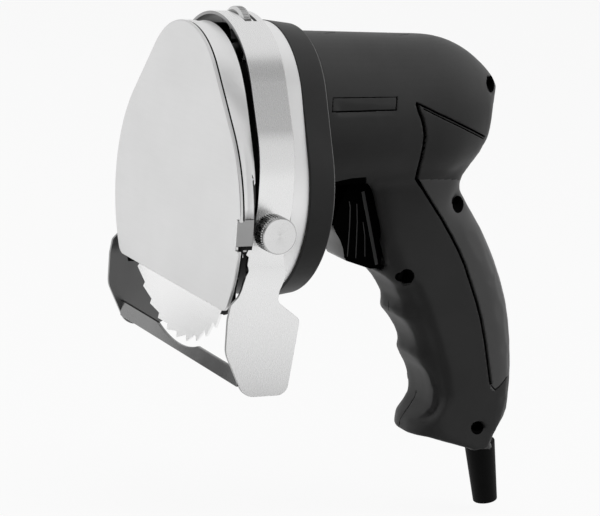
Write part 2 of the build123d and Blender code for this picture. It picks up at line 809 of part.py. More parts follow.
with BuildPart() as commutator:
    with BuildSketch(front_plane(commutator_front_y)):
        with Locations((0, motor_axis_z)):
            Circle(commutator_radius)
            Circle(shaft_radius + seat_clearance, mode=Mode.SUBTRACT)
            with PolarLocations(commutator_radius, commutator_bars):
                Rectangle(*commutator_groove, mode=Mode.SUBTRACT)
    extrude(amount=-commutator_length)
save(commutator, "commutator")

# Stator core with two poles, and the coils round them
pole_radius = armature_radius + air_gap
with BuildPart() as stator_core:
    with BuildSketch(front_plane(stator_front_y)):
        with Locations((0, motor_axis_z)):
            Rectangle(2 * pole_radius * sin(radians(pole_half_angle)), 2 * shoe_outer)
            pole_gap = 2 * pole_radius * cos(radians(pole_half_angle))
            Rectangle(2 * stator_radius, pole_gap, mode=Mode.SUBTRACT)
            Rectangle(2 * pole_half_width, 2 * stator_radius - stator_ring)
            Circle(pole_radius, mode=Mode.SUBTRACT)
    extrude(amount=-stator_length)
    with BuildSketch(front_plane(stator_front_y)):
        with Locations((0, motor_axis_z)):
            Circle(stator_radius)
            Circle(stator_radius - stator_ring, mode=Mode.SUBTRACT)
    extrude(amount=-stator_length)
save(stator_core, "stator_core")

with BuildPart() as field_coils:
    for side in (-1, 1):
        coil_plane = Plane(
            origin=(0, stator_front_y + stator_length / 2, motor_axis_z + side * coil_inner),
            x_dir=(1, 0, 0),
            z_dir=(0, 0, side),
        )
        with BuildSketch(coil_plane):
            RectangleRounded(2 * coil_half_width, stator_length + 2 * coil_end_length, coil_corner_radius)
            Rectangle(
                2 * (pole_half_width + running_gap),
                stator_length + 2 * running_gap,
                mode=Mode.SUBTRACT,
            )
        extrude(amount=coil_thickness)
save(field_coils, "field_coils")

# Brush gear at the commutator
brush_y = commutator_front_y + commutator_length / 2
holder_inner_x = commutator_radius + brush_holder_gap
with BuildPart() as brush_holders:
    for side in (-1, 1):
        with BuildSketch(side_plane(side * holder_inner_x)):
            with Locations((brush_y, motor_axis_z)):
                Rectangle(brush_width + 2 * brush_holder_wall, brush_height + 2 * brush_holder_wall)
                Rectangle(
                    brush_width + 2 * seat_clearance, brush_height + 2 * seat_clearance, mode=Mode.SUBTRACT
                )
        extrude(amount=side * (holder_outer_x - holder_inner_x))
save(brush_holders, "brush_holders")

brush_face_x = commutator_radius + running_gap
with BuildPart() as carbon_brushes:
    for side in (-1, 1):
        with BuildSketch(side_plane(side * brush_face_x)):
            with Locations((brush_y, motor_axis_z)):
                Rectangle(brush_width, brush_height)
        extrude(amount=side * brush_length)
save(carbon_brushes, "carbon_brushes")

# Outer form of the pistol body, before it is hollowed and parted
neck_front_high = (86.7, barrel_floor_z)
neck_front_low = (100.8, -28.6)
ridge_points = ((97.6, -32.6), (106.8, -51.0), (117.2, -71.0), (119.2, -103.5))
grip_toe = (122.0, -110.8)
grip_middle_y = 134.0
foot_front = (154.0, -120.2)
foot_rear = (169.6, -117.0)
grip_back = ((174.0, -103.0), (175.3, -86.0), (171.8, -61.0), (164.6, -37.8), (152.2, -14.6), (140.6, 3.0))
neck_top_z = 24.0
neck_back_high = (146.0, neck_top_z)
neck_front_start = ((80.0, neck_top_z), (88.0, -12.0))


def groove_bottom(index):
    """Deepest point of a finger groove, square to the line between its two ridges."""
    start_y, start_z = ridge_points[index]
    end_y, end_z = ridge_points[index + 1]
    span = sqrt((end_y - start_y) ** 2 + (end_z - start_z) ** 2)
    depth = finger_groove_depths[index]
    middle_y = (start_y + end_y) / 2 - (end_z - start_z) / span * depth
    middle_z = (start_z + end_z) / 2 + (end_y - start_y) / span * depth
    return (middle_y, middle_z)


groove_bottoms = [groove_bottom(index) for index in range(len(finger_groove_depths))]


def grip_outline(front_points):
    """Side view of the grip, with its front along the given points."""
    with BuildLine() as outline:
        Spline(*front_points)
        Polyline(front_points[-1], foot_front, foot_rear)
        Spline(foot_rear, *grip_back, neck_back_high, tangents=((0.6, 0.8), (0.4, 0.9)))
        Line(neck_back_high, front_points[0])
    make_face(outline.edges())


def round_long_edges(builder, half_width, radius):
    """Round the long curved edges of the grip, front and back, on both sides."""
    for on_back in (True, False):
        side_edges = [
            edge for edge in builder.edges()
            if abs(abs(edge.center().X) - half_width) < match_tolerance
        ]
        curved = [edge for edge in side_edges if edge.geom_type != GeomType.LINE]
        fillet([edge for edge in curved if (edge.center().Y > grip_middle_y) == on_back], radius=radius)


def barrel_form(skin):
    """Round barrel with a domed rear, about the motor axis, made smaller by skin."""
    front_radius = barrel_radius - skin
    dome_radius = barrel_radius - barrel_taper - skin
    rear_y = barrel_rear_y - skin
    dome_length = rear_y - barrel_dome_y
    dome_points = []
    for along, out in dome_shape:
        dome_points.append((barrel_dome_y + along * dome_length, motor_axis_z + out * dome_radius))
    with BuildSketch(side_plane(0)) as half_section:
        with BuildLine() as outline:
            Line((collar_rear_y, motor_axis_z), (collar_rear_y, motor_axis_z + front_radius))
            Line((collar_rear_y, motor_axis_z + front_radius), (barrel_dome_y, motor_axis_z + dome_radius))
            Spline(
                (barrel_dome_y, motor_axis_z + dome_radius),
                *dome_points,
                (rear_y, motor_axis_z + dome_flat_radius),
                tangents=((1, -barrel_taper / (barrel_dome_y - collar_rear_y)), (0, -1)),
            )
            Polyline(
                (rear_y, motor_axis_z + dome_flat_radius),
                (rear_y, motor_axis_z),
                (collar_rear_y, motor_axis_z),
            )
        make_face(outline.edges())
    revolve(half_section.sketch, axis=Axis((0, 0, motor_axis_z), (0, 1, 0)))


with BuildPart() as grip_form:
    with BuildSketch(side_plane(0)):
        grip_outline([*neck_front_start, *ridge_points, grip_toe])
    extrude(amount=grip_half_width, both=True)
    round_long_edges(grip_form, grip_half_width, grip_edge_radius)

with BuildPart() as body_form:
    barrel_form(0)
    add(grip_form.part)
    with BuildSketch(side_plane(0)):
        with BuildLine():
            Polyline(
                (0, barrel_floor_z),
                neck_front_high,
                neck_front_low,
                ridge_points[0],
                (0, ridge_points[0][1]),
                close=True,
            )
        make_face()
        for index, bottom in enumerate(groove_bottoms):
            with BuildLine():
                ThreePointArc(ridge_points[index], bottom, ridge_points[index + 1])
                Polyline(
                    ridge_points[index + 1],
                    (0, ridge_points[index + 1][1]),
                    (0, ridge_points[index][1]),
                    ridge_points[index],
                )
            make_face()
    extrude(amount=2 * barrel_radius, both=True, mode=Mode.SUBTRACT)

# Room inside the body for the motor, the switch and the leads
room_steps = ((grip_half_width - housing_wall, wide_room_skin), (narrow_room_half, edge_wall))
with BuildPart() as grip_room:
    for half_width, edge_skin in room_steps:
        with BuildSketch(side_plane(0)):
            with BuildLine():
                Polyline(
                    *neck_front_start,
                    neck_front_low,
                    *groove_bottoms,
                    grip_toe,
                    foot_front,
                    foot_rear,
                    *grip_back,
                    neck_back_high,
                    close=True,
                )
            make_face()
            offset(amount=-edge_skin, kind=Kind.INTERSECTION, mode=Mode.REPLACE)
        extrude(amount=half_width, both=True)

barrel_ceiling_z = barrel_floor_z + barrel_floor_wall
with BuildPart() as barrel_room:
    barrel_form(housing_wall)
    with BuildSketch(side_plane(0)):
        with Locations((collar_rear_y, barrel_ceiling_z)):
            Rectangle(neck_front_high[0] - collar_rear_y, 2 * barrel_radius, align=(Align.MIN, Align.MAX))
    extrude(amount=2 * barrel_radius, both=True, mode=Mode.SUBTRACT)

pocket_half_width = trigger_half_width + trigger_side_gap
with BuildPart() as trigger_pocket:
    with BuildSketch(side_plane(0)):
        with BuildLine():
            Polyline(
                (neck_front_high[0] - pocket_reach, barrel_floor_z - running_gap),
                (switch_front_y, barrel_floor_z - running_gap),
                (switch_front_y, pocket_low_z),
                (neck_front_low[0] - pocket_reach, pocket_low_z),
                close=True,
            )
        make_face()
    extrude(amount=pocket_half_width, both=True)

# Bosses, ribs and seats inside the body, trimmed to its outer form
lip_length = collar_rear_y - collar_wall_y - lip_end_gap
lip_radius = collar_mouth_radius - seat_clearance
with BuildPart() as body_ribs:
    with BuildSketch(side_plane(0)):
        with Locations(*body_screw_places):
            Circle(body_screw_boss_radius)
    extrude(amount=barrel_radius, both=True)
    for side in (-1, 1):
        with BuildSketch(side_plane(side * pocket_half_width)):
            with Locations((trigger_pin_y, trigger_pin_z)):
                Circle(trigger_pin_radius + trigger_boss_wall)
        extrude(amount=side * (grip_half_width - rib_root - pocket_half_width))
        with BuildSketch(side_plane(side * (switch_half_width + seat_clearance))):
            with Locations((switch_front_y + switch_length / 2, (switch_low_z + switch_high_z) / 2)):
                with GridLocations(switch_rib_pitch, 1.0, 2, 1):
                    Rectangle(switch_rib_width, switch_high_z - switch_low_z)
        extrude(amount=side * (grip_half_width - rib_root - switch_half_width))
        with BuildSketch(side_plane(side * (holder_outer_x + seat_clearance))):
            with Locations((brush_y, motor_axis_z)):
                Rectangle(brush_width + 2 * brush_holder_wall, brush_height + 2 * brush_holder_wall)
        extrude(amount=side * (barrel_radius - holder_outer_x))
    for rib_y in (stator_front_y, stator_rear_y - stator_rib_width):
        with BuildSketch(front_plane(rib_y)):
            with Locations((0, motor_axis_z)):
                Circle(barrel_radius)
                Circle(stator_radius + seat_clearance, mode=Mode.SUBTRACT)
        extrude(amount=-stator_rib_width)
    with BuildSketch(front_plane(collar_rear_y)):
        with Locations((0, motor_axis_z)):
            Circle(barrel_radius)
            Circle(fan_radius + fan_tip_gap, mode=Mode.SUBTRACT)
    extrude(amount=-housing_wall)
    with BuildSketch(front_plane(tail_bearing_y)):
        with Locations((0, motor_axis_z)):
            Circle(barrel_radius - tail_rib_margin)
            Circle(tail_bearing[0] + seat_clearance, mode=Mode.SUBTRACT)
    extrude(amount=-tail_bearing[2])
    add(body_form.part, mode=Mode.INTERSECT)

sleeve_axis = Plane(
    origin=(0, sleeve_axis_y, sleeve_axis_z),
    x_dir=(1, 0, 0),
    z_dir=(0, sin(radians(sleeve_tilt)), -cos(radians(sleeve_tilt))),
)
with BuildPart() as body:
    add(body_form.part)
    add(barrel_room.part, mode=Mode.SUBTRACT)
    add(grip_room.part, mode=Mode.SUBTRACT)
    add(trigger_pocket.part, mode=Mode.SUBTRACT)
    add(body_ribs.part)
    with BuildSketch(front_plane(collar_rear_y - lip_length)):
        with Locations((0, motor_axis_z)):
            Circle(lip_radius)
            Circle(fan_radius + fan_tip_gap, mode=Mode.SUBTRACT)
    extrude(amount=-lip_length)
    with BuildSketch(side_plane(0)):
        with Locations(*body_screw_places):
            Circle(body_screw_radius + seat_clearance)
    extrude(amount=body_screw_depth, both=True, mode=Mode.SUBTRACT)
    with BuildSketch(side_plane(body_screw_seat_x)):
        with Locations(*body_screw_places):
            Circle(body_screw_recess_radius)
    extrude(amount=barrel_radius, mode=Mode.SUBTRACT)
    with BuildSketch(side_plane(0)):
        with Locations((trigger_pin_y, trigger_pin_z)):
            Circle(trigger_pin_radius + seat_clearance)
    extrude(amount=pocket_half_width + trigger_pin_seat, both=True, mode=Mode.SUBTRACT)
    with BuildSketch(sleeve_axis.offset(-2 * edge_wall)):
        Circle(sleeve_neck_radius + seat_clearance)
    extrude(amount=4 * edge_wall, mode=Mode.SUBTRACT)
    with BuildSketch(sleeve_axis.offset(-2 * edge_wall)):
        Circle(sleeve_flange_radius + seat_clearance)
    extrude(amount=edge_wall, mode=Mode.SUBTRACT)

# Screws that hold the two halves together, their heads deep in the left half
with BuildPart() as housing_screws:
    with BuildSketch(side_plane(-body_screw_depth + blind_end)):
        with Locations(*body_screw_places):
            Circle(body_screw_radius)
    extrude(amount=body_screw_depth - blind_end + body_screw_seat_x)
    with BuildSketch(side_plane(body_screw_seat_x)):
        with Locations(*body_screw_places):
            Circle(body_screw_head_radius)
    extrude(amount=body_screw_head_height)
save(housing_screws, "housing_screws")

# Trigger: a finger lever with upright grooves in its sides, hung on a pin
with BuildPart() as trigger:
    with BuildSketch(side_plane(0)):
        with BuildLine():
            Polyline(
                trigger_front[-1],
                (trigger_back_y, trigger_top_z),
                (trigger_back_y, trigger_low_z),
                *trigger_foot,
            )
            Line(trigger_foot[-1], trigger_front[0])
            Spline(*trigger_front, tangents=((0.3, 1), (0.6, 0.8)))
        make_face()
    extrude(amount=trigger_half_width, both=True)
    for side in (-1, 1):
        with BuildSketch(side_plane(side * (trigger_half_width - trigger_rib_depth))):
            with Locations(trigger_rib_middle):
                with GridLocations(trigger_rib_pitch, 1.0, trigger_rib_count, 1):
                    Rectangle(*trigger_rib_groove)
        extrude(amount=side * 2 * trigger_rib_depth, mode=Mode.SUBTRACT)
    with BuildSketch(side_plane(0)):
        with Locations((trigger_pin_y, trigger_pin_z)):
            Circle(trigger_pin_radius + shaft_clearance)
    extrude(amount=2 * trigger_half_width, both=True, mode=Mode.SUBTRACT)
save(trigger, "trigger")

with BuildPart() as trigger_pin:
    with BuildSketch(side_plane(0)):
        with Locations((trigger_pin_y, trigger_pin_z)):
            Circle(trigger_pin_radius)
    extrude(amount=pocket_half_width + trigger_pin_seat - running_gap, both=True)
save(trigger_pin, "trigger_pin")

# Switch behind the trigger, with its plunger
plunger_front_y = trigger_back_y + running_gap
with BuildPart() as switch_body:
    with BuildSketch(side_plane(0)):
        with Locations((switch_front_y, switch_low_z)):
            Rectangle(switch_length, switch_high_z - switch_low_z, align=(Align.MIN, Align.MIN))
    extrude(amount=switch_half_width, both=True)
    plunger_hole_radius = plunger_radius + shaft_clearance
    plunger_hole_depth = plunger_well + plunger_travel
    disc(switch_front_y, plunger_z, plunger_hole_radius, plunger_hole_depth, mode=Mode.SUBTRACT)
    with BuildSketch(Plane.XY.offset(switch_low_z - switch_tag[2])):
        with Locations((0, switch_front_y + switch_length / 2)):
            with GridLocations(switch_tag_pitch, 1.0, 2, 1):
                Rectangle(*switch_tag[:2])
    extrude(amount=switch_tag[2])
save(switch_body, "switch_body")

with BuildPart() as switch_plunger:
    plunger_length = switch_front_y + plunger_well - running_gap - plunger_front_y
    disc(plunger_front_y, plunger_z, plunger_radius, plunger_length)
save(switch_plunger, "switch_plunger")

# Bend-protection sleeve at the foot, held by its flange inside the grip
with BuildPart() as cord_sleeve:
    with BuildSketch(sleeve_axis.offset(-edge_wall - sleeve_flange_thickness - seat_clearance)):
        Circle(sleeve_flange_radius)
    extrude(amount=sleeve_flange_thickness)
    with BuildSketch(sleeve_axis.offset(-edge_wall - seat_clearance)):
        Circle(sleeve_neck_radius)
    extrude(amount=edge_wall + 2 * seat_clearance)
    with BuildSketch(sleeve_axis.offset(seat_clearance)):
        Circle(sleeve_root_radius)
    with BuildSketch(sleeve_axis.offset(sleeve_length)):
        Circle(sleeve_tip_radius)
    loft()
    with BuildSketch(sleeve_axis.offset(-2 * sleeve_length)):
        Circle(cord_radius)
    extrude(amount=4 * sleeve_length, mode=Mode.SUBTRACT)
save(cord_sleeve, "cord_sleeve")

# Supply lead from the sleeve to the switch, with the clamp that holds it
inward = (-sin(radians(sleeve_tilt)), cos(radians(sleeve_tilt)))
lead_start = edge_wall + sleeve_flange_thickness + lead_end_gap
lead_top = (switch_front_y + switch_length / 2, switch_low_z - switch_tag[2] - running_gap)


def on_sleeve_axis(distance):
    """Point inside the grip at a distance from the foot, along the sleeve's axis."""
    return (0, sleeve_axis_y + inward[0] * distance, sleeve_axis_z + inward[1] * distance)


with BuildPart() as supply_lead:
    with BuildLine() as lead_line:
        FilletPolyline(
            on_sleeve_axis(lead_start),
            on_sleeve_axis(lead_bend),
            (0, *lead_top),
            radius=lead_bend_radius,
        )
    with BuildSketch(Plane(origin=lead_line.line @ 0, z_dir=lead_line.line % 0)):
        Circle(lead_radius)
    sweep(path=lead_line.line)
save(supply_lead, "supply_lead")

clamp_plane = Plane(
    origin=on_sleeve_axis(clamp_place),
    x_dir=(0, inward[1], -inward[0]),
    z_dir=(1, 0, 0),
)
clamp_seat_x = lead_radius + seat_clearance
clamp_screw_offset = clamp_half_span - clamp_screw_radius - clamp_screw_edge
with BuildPart() as cord_clamp:
    with BuildSketch(clamp_plane.offset(clamp_seat_x)):
        RectangleRounded(2 * clamp_half_span, clamp_width, clamp_corner_radius)
        with GridLocations(2 * clamp_screw_offset, 1.0, 2, 1):
            Circle(clamp_screw_radius + seat_clearance, mode=Mode.SUBTRACT)
    extrude(amount=clamp_thickness)
save(cord_clamp, "cord_clamp")

with BuildPart() as clamp_screws:
    with BuildSketch(clamp_plane.offset(clamp_seat_x - clamp_screw_depth)):
        with GridLocations(2 * clamp_screw_offset, 1.0, 2, 1):
            Circle(clamp_screw_radius)
    extrude(amount=clamp_screw_depth + clamp_thickness)
    with BuildSketch(clamp_plane.offset(clamp_seat_x + clamp_thickness)):
        with GridLocations(2 * clamp_screw_offset, 1.0, 2, 1):
            Circle(clamp_screw_head[0])
    extrude(amount=clamp_screw_head[1])
save(clamp_screws, "clamp_screws")

# Leads from the switch up to the brush holders
holder_middle_x = (holder_inner_x + holder_outer_x) / 2
holder_low_z = motor_axis_z - brush_height / 2 - brush_holder_wall
with BuildPart() as motor_leads:
    for side in (-1, 1):
        low = Vector(side * motor_lead_low[0], brush_y, switch_high_z + motor_lead_low[1])
        high = Vector(side * holder_middle_x, brush_y, holder_low_z - motor_lead_gap)
        with BuildSketch(Plane(origin=low, z_dir=high - low)):
            Circle(motor_lead_radius)
        extrude(amount=(high - low).length)
save(motor_leads, "motor_leads")

# The two housing halves, parted on the middle plane
with BuildPart() as left_housing:
    add(body.part)
    split(bisect_by=Plane.YZ, keep=Keep.TOP)
    with BuildSketch(side_plane(label_floor_x)):
        with Locations((label_front_y, label_low_z)):
            Rectangle(label_length, label_height, align=(Align.MIN, Align.MIN))
    extrude(amount=barrel_radius, mode=Mode.SUBTRACT)
save(left_housing, "left_housing")

with BuildPart() as right_housing:
    add(body.part)
    split(bisect_by=Plane.YZ, keep=Keep.BOTTOM)
    with BuildSketch(clamp_plane.offset(clamp_seat_x)):
        with GridLocations(2 * clamp_screw_offset, 1.0, 2, 1):
            Circle(clamp_screw_radius + clamp_boss_wall)
    extrude(amount=-(clamp_seat_x + grip_half_width - housing_wall))
    with BuildSketch(clamp_plane.offset(clamp_seat_x)):
        with GridLocations(2 * clamp_screw_offset, 1.0, 2, 1):
            Circle(clamp_screw_radius + thread_clearance)
    extrude(amount=-(clamp_screw_depth + blind_end), mode=Mode.SUBTRACT)
save(right_housing, "right_housing")

# Depth guide: one steel strip bent over the head, with a wide foot at each end
guide_tilt = asin((guide_low[0] - guide_high[0]) / (guide_high[1] - guide_low[1]))
guide_shoulder = (guide_low[0] * cos(guide_tilt), guide_low[1] + guide_low[0] * sin(guide_tilt))
guide_crown = (guide_high[0] * cos(guide_tilt), guide_high[1] + guide_high[0] * sin(guide_tilt))
guide_slope = (guide_shoulder[0] - guide_crown[0], guide_shoulder[1] - guide_crown[1])
guide_top_z = guide_high[1] + guide_high[0]
guide_depth = foot_rear_y - foot_front_y
bend_middle = ((arm_x + foot_x) / 2, (arm_bend_z + foot_bend_z) / 2)
strip_end_z = 2 * foot_low_z
slot_radius = thumb_shank_radius + running_gap
with BuildPart() as depth_guide:
    with BuildSketch(front_plane(foot_front_y)) as guide_face:
        with BuildLine():
            TangentArc((0, guide_top_z), guide_crown, tangent=(1, 0))
            Line(guide_crown, guide_shoulder)
            TangentArc(guide_shoulder, (arm_x, guide_low[1]), tangent=guide_slope)
            Line((arm_x, guide_low[1]), (arm_x, arm_bend_z))
            TangentArc((arm_x, arm_bend_z), bend_middle, tangent=(0, -1))
            TangentArc((foot_x, foot_bend_z), bend_middle, tangent=(0, 1))
            Polyline((foot_x, foot_bend_z), (foot_x, strip_end_z), (0, strip_end_z))
            mirror(about=Plane.YZ)
        make_face()
        offset(amount=-guide_thickness, kind=Kind.INTERSECTION, mode=Mode.SUBTRACT)
    extrude(amount=-guide_depth)
    with BuildSketch(side_plane(0)) as guide_side:
        with BuildLine():
            Polyline(
                (guide_front_y, 2 * guide_top_z),
                *[(y, z) for y, z, corner in guide_front_edge],
                *[(y, z) for y, z, corner in guide_rear_edge],
                (guide_rear_y, 2 * guide_top_z),
                close=True,
            )
        make_face()
        for y, z, corner in (*guide_front_edge, *guide_rear_edge):
            fillet(guide_side.vertices().sort_by_distance((y, z, 0))[0], radius=corner)
    extrude(amount=2 * foot_x, both=True, mode=Mode.INTERSECT)
    with BuildSketch(side_plane(0)):
        with Locations((thumb_screw_y + guide_travel / 2, 0)):
            SlotCenterToCenter(guide_travel, 2 * slot_radius)
    extrude(amount=2 * foot_x, both=True, mode=Mode.SUBTRACT)
    with BuildSketch(Plane.XY.offset(wheel_z)):
        with Locations((0, wheel_rear_y - wheel_thickness / 2)):
            Rectangle(2 * wheel_slot_half, wheel_thickness + 2 * running_gap)
    extrude(amount=2 * wheel_radius, mode=Mode.SUBTRACT)
save(depth_guide, "depth_guide")

# Bar between the feet, with a notch that clears the teeth of the blade
with BuildPart() as guide_bar:
    with BuildSketch(front_plane(bar_front_y)):
        with Locations((0, (bar_low_z + bar_high_z) / 2)):
            Rectangle(2 * (foot_x - guide_thickness), bar_high_z - bar_low_z)
        Circle(blade_radius + bar_notch_gap, mode=Mode.SUBTRACT)
    extrude(amount=-bar_thickness)
save(guide_bar, "guide_bar")

# Adjusting wheel in the slot of the guide, and the stud it turns on
with BuildPart() as adjusting_wheel:
    with BuildSketch(front_plane(wheel_front_y)):
        with Locations((0, wheel_z)):
            knurled_disc(wheel_radius, wheel_knurls)
            Circle(stud_radius + thread_clearance, mode=Mode.SUBTRACT)
    extrude(amount=-wheel_thickness)
save(adjusting_wheel, "adjusting_wheel")

with BuildPart() as adjusting_stud:
    disc(case_front_y + stud_end_gap, wheel_z, stud_radius, stud_hole_depth - 2 * stud_end_gap)
save(adjusting_stud, "adjusting_stud")

# Clips: bent strips from under the thumb screws and round the drum
# The left one ends in a lip over the edge of the cover, the right one at the back of the cover
pad_x = clip_outer_x - clip_thickness / 2
clip_legs = (
    (clip_leg_x, clip_leg_y),
    (pad_x, clip_leg_y),
    (pad_x, thumb_screw_y + clip_half_height),
)
clip_lip_end = ((clip_leg_x - clip_lip, -clip_thickness / 2), (clip_leg_x, -clip_thickness / 2))
clip_tab_end = ((clip_leg_x, cover_thickness + seat_clearance + clip_thickness / 2),)
clip_kinds = ((1, "left_cover_clip", clip_lip_end), (-1, "right_cover_clip", clip_tab_end))
for side, clip_name, clip_end in clip_kinds:
    clip_path = (*clip_end, *clip_legs)
    with BuildPart() as cover_clip:
        with BuildSketch(Plane.XY.offset(-clip_half_height)):
            for start, end in zip(clip_path, clip_path[1:]):
                run_x = abs(end[0] - start[0])
                run_y = abs(end[1] - start[1])
                with Locations((side * (start[0] + end[0]) / 2, (start[1] + end[1]) / 2)):
                    Rectangle(run_x + clip_thickness, run_y + clip_thickness)
        extrude(amount=2 * clip_half_height)
        with BuildSketch(side_plane(0)):
            with Locations((thumb_screw_y, 0)):
                Circle(slot_radius)
        extrude(amount=side * arm_x, mode=Mode.SUBTRACT)
    save(cover_clip, clip_name)

# Thumb screws: knurled knob, plain collar and shank
for side, screw_name in ((1, "left_thumb_screw"), (-1, "right_thumb_screw")):
    with BuildPart() as thumb_screw:
        with BuildSketch(side_plane(side * (boss_end_x - thumb_shank_depth + running_gap))):
            with Locations((thumb_screw_y, 0)):
                Circle(thumb_shank_radius)
        extrude(amount=side * (knob_seat_x - boss_end_x + thumb_shank_depth - running_gap))
        with BuildSketch(side_plane(side * knob_seat_x)):
            with Locations((thumb_screw_y, 0)):
                Circle(thumb_collar_radius)
        extrude(amount=side * thumb_collar_length)
        with BuildSketch(side_plane(side * (knob_seat_x + thumb_collar_length))):
            with Locations((thumb_screw_y, 0)):
                knurled_disc(thumb_knob_radius, thumb_knurls)
        extrude(amount=side * thumb_knob_length)
    save(thumb_screw, screw_name)
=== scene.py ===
import math

import bmesh
import bpy
import numpy as np
from mathutils import Matrix, Vector
from mathutils.bvhtree import BVHTree
from mathutils.kdtree import KDTree


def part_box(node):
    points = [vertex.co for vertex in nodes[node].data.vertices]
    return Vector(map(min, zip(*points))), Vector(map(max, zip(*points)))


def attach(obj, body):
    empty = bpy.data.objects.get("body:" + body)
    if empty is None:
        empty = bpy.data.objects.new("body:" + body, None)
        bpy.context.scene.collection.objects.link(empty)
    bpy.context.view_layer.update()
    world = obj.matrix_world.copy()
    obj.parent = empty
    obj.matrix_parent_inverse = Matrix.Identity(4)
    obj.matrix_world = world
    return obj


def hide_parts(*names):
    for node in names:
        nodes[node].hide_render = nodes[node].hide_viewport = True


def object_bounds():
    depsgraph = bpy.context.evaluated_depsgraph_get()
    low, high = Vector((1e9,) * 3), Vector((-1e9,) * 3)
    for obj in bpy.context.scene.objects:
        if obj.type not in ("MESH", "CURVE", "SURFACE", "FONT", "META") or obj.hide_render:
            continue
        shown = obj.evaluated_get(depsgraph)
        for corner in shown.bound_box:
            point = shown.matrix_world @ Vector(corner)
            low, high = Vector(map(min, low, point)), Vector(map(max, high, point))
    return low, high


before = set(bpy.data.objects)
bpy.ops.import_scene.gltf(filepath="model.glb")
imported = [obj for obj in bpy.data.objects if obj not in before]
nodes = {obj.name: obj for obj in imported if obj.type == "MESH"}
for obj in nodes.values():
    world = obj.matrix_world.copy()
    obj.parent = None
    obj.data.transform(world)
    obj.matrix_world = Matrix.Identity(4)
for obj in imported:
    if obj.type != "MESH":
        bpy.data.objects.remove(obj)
cad_low, cad_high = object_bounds()
scene = bpy.context.scene
MM = 0.001

# Camera: place, angles and lens that put the solids on the photograph, and the size of the picture in pixels
CAMERA_PLACE = (1.15622, -0.53465, 0.26612)
CAMERA_AZIMUTH = 62.66
CAMERA_ELEVATION = 12.67
CAMERA_ROLL = 4.01
CAMERA_LENS = 179.18
SENSOR_WIDTH = 36.0
PICTURE_WIDTH = 600
PICTURE_HEIGHT = 516
FOCUS = PICTURE_WIDTH * CAMERA_LENS / SENSOR_WIDTH

# Camera axes: across and above lie in the picture, back points from the object to the camera
turn, rise, roll = (math.radians(a) for a in (CAMERA_AZIMUTH, CAMERA_ELEVATION, CAMERA_ROLL))
back = Vector((math.sin(turn) * math.cos(rise), -math.cos(turn) * math.cos(rise), math.sin(rise)))
level = Vector((math.cos(turn), math.sin(turn), 0))
upright = back.cross(level)
across = level * math.cos(roll) + upright * math.sin(roll)
above = upright * math.cos(roll) - level * math.sin(roll)

# Body: mesh size, and how far its rear and its front move along Y at each height, in millimetres
BODY_VOXEL = 0.85
REAR_SHIFT = (
    (-122.0, -1.0), (-118.4, -2.4), (-114.6, -6.7), (-110.8, -7.6), (-107.0, -5.5), (-103.0, -3.4), (-99.0, -2.4),
    (-91.6, -2.9), (-80.0, -3.0), (-68.0, -2.5), (-57.0, -1.8), (-45.0, -1.65), (-33.5, -1.7), (-22.0, -1.5),
    (-14.0, -0.9), (-6.6, -0.7), (1.0, -1.1), (4.8, -2.2), (8.5, -2.4), (12.0, -2.0), (15.8, -0.8), (19.4, -0.7),
    (23.0, -2.1), (26.7, -4.8), (30.3, -4.5), (34.0, -5.1), (37.7, -5.2), (41.4, -4.8), (45.1, -3.8), (48.8, -2.1),
    (52.5, 0.2), (56.0, 0.8), (63.6, 1.0), (67.0, 1.4), (71.0, 1.9), (76.0, 3.4),
)
FRONT_SHIFT = (
    (-112.0, -0.8), (-107.5, 1.4), (-103.6, 3.2), (-99.7, 5.7), (-95.9, 7.2), (-92.0, 6.9), (-88.2, 6.0),
    (-84.4, 5.1), (-80.6, 4.1), (-76.7, 2.5), (-72.8, 1.9), (-69.0, 3.5), (-65.1, 3.4), (-61.2, 2.6), (-57.4, 1.8),
    (-53.5, 0.8), (-49.5, 3.4), (-45.7, 4.1), (-41.9, 3.1), (-38.0, 2.7), (-34.2, 1.9), (-29.0, 0.0),
)

# Lines on the body, pressed in and painted black as shade in the grooves: points of the picture, points on the hidden
# side, half width and depth, in pixels and millimetres
PANEL_TOP = (
    (417.0, 103.0), (430.1, 109.4), (440.1, 114.5), (450.0, 119.0), (460.0, 124.1), (469.9, 128.9), (480.0, 134.2),
    (484.0, 136.4),
)
PANEL_SECOND = ((424.0, 109.0), (440.0, 117.2), (460.0, 126.8), (480.0, 137.0), (483.4, 138.8))
PANEL_SIDE = (
    (417.5, 104.5), (419.6, 112.0), (422.6, 119.1), (424.4, 126.9), (425.3, 136.1), (424.2, 145.9), (421.6, 158.0),
    (418.5, 170.1), (416.5, 179.5), (422.0, 187.0), (432.0, 203.1), (442.0, 219.0), (452.0, 237.0), (458.6, 250.0),
    (465.0, 265.0), (470.9, 283.1), (476.9, 302.1), (481.5, 320.1), (485.6, 343.0), (488.4, 365.1), (490.9, 384.1),
)
PANEL_FOOT = ((491.5, 386.0), (495.1, 390.1), (499.1, 386.9), (504.0, 381.0), (506.5, 377.5))
BODY_LINES = (
    (PANEL_TOP, ((14.0, 146.0, 28.6), (7.0, 148.0, 27.8), (0.0, 149.0, 27.5)), 0.42, 1.0),
    (PANEL_SECOND, (), 0.26, 0.7),
    (PANEL_SIDE[:10], (), 0.78, 1.6),
    (PANEL_SIDE[9:], (), 0.66, 1.5),
    (PANEL_FOOT, ((12.0, 170.0, -79.8), (6.0, 172.0, -78.6), (0.0, 172.5, -78.2)), 0.24, 0.6),
)
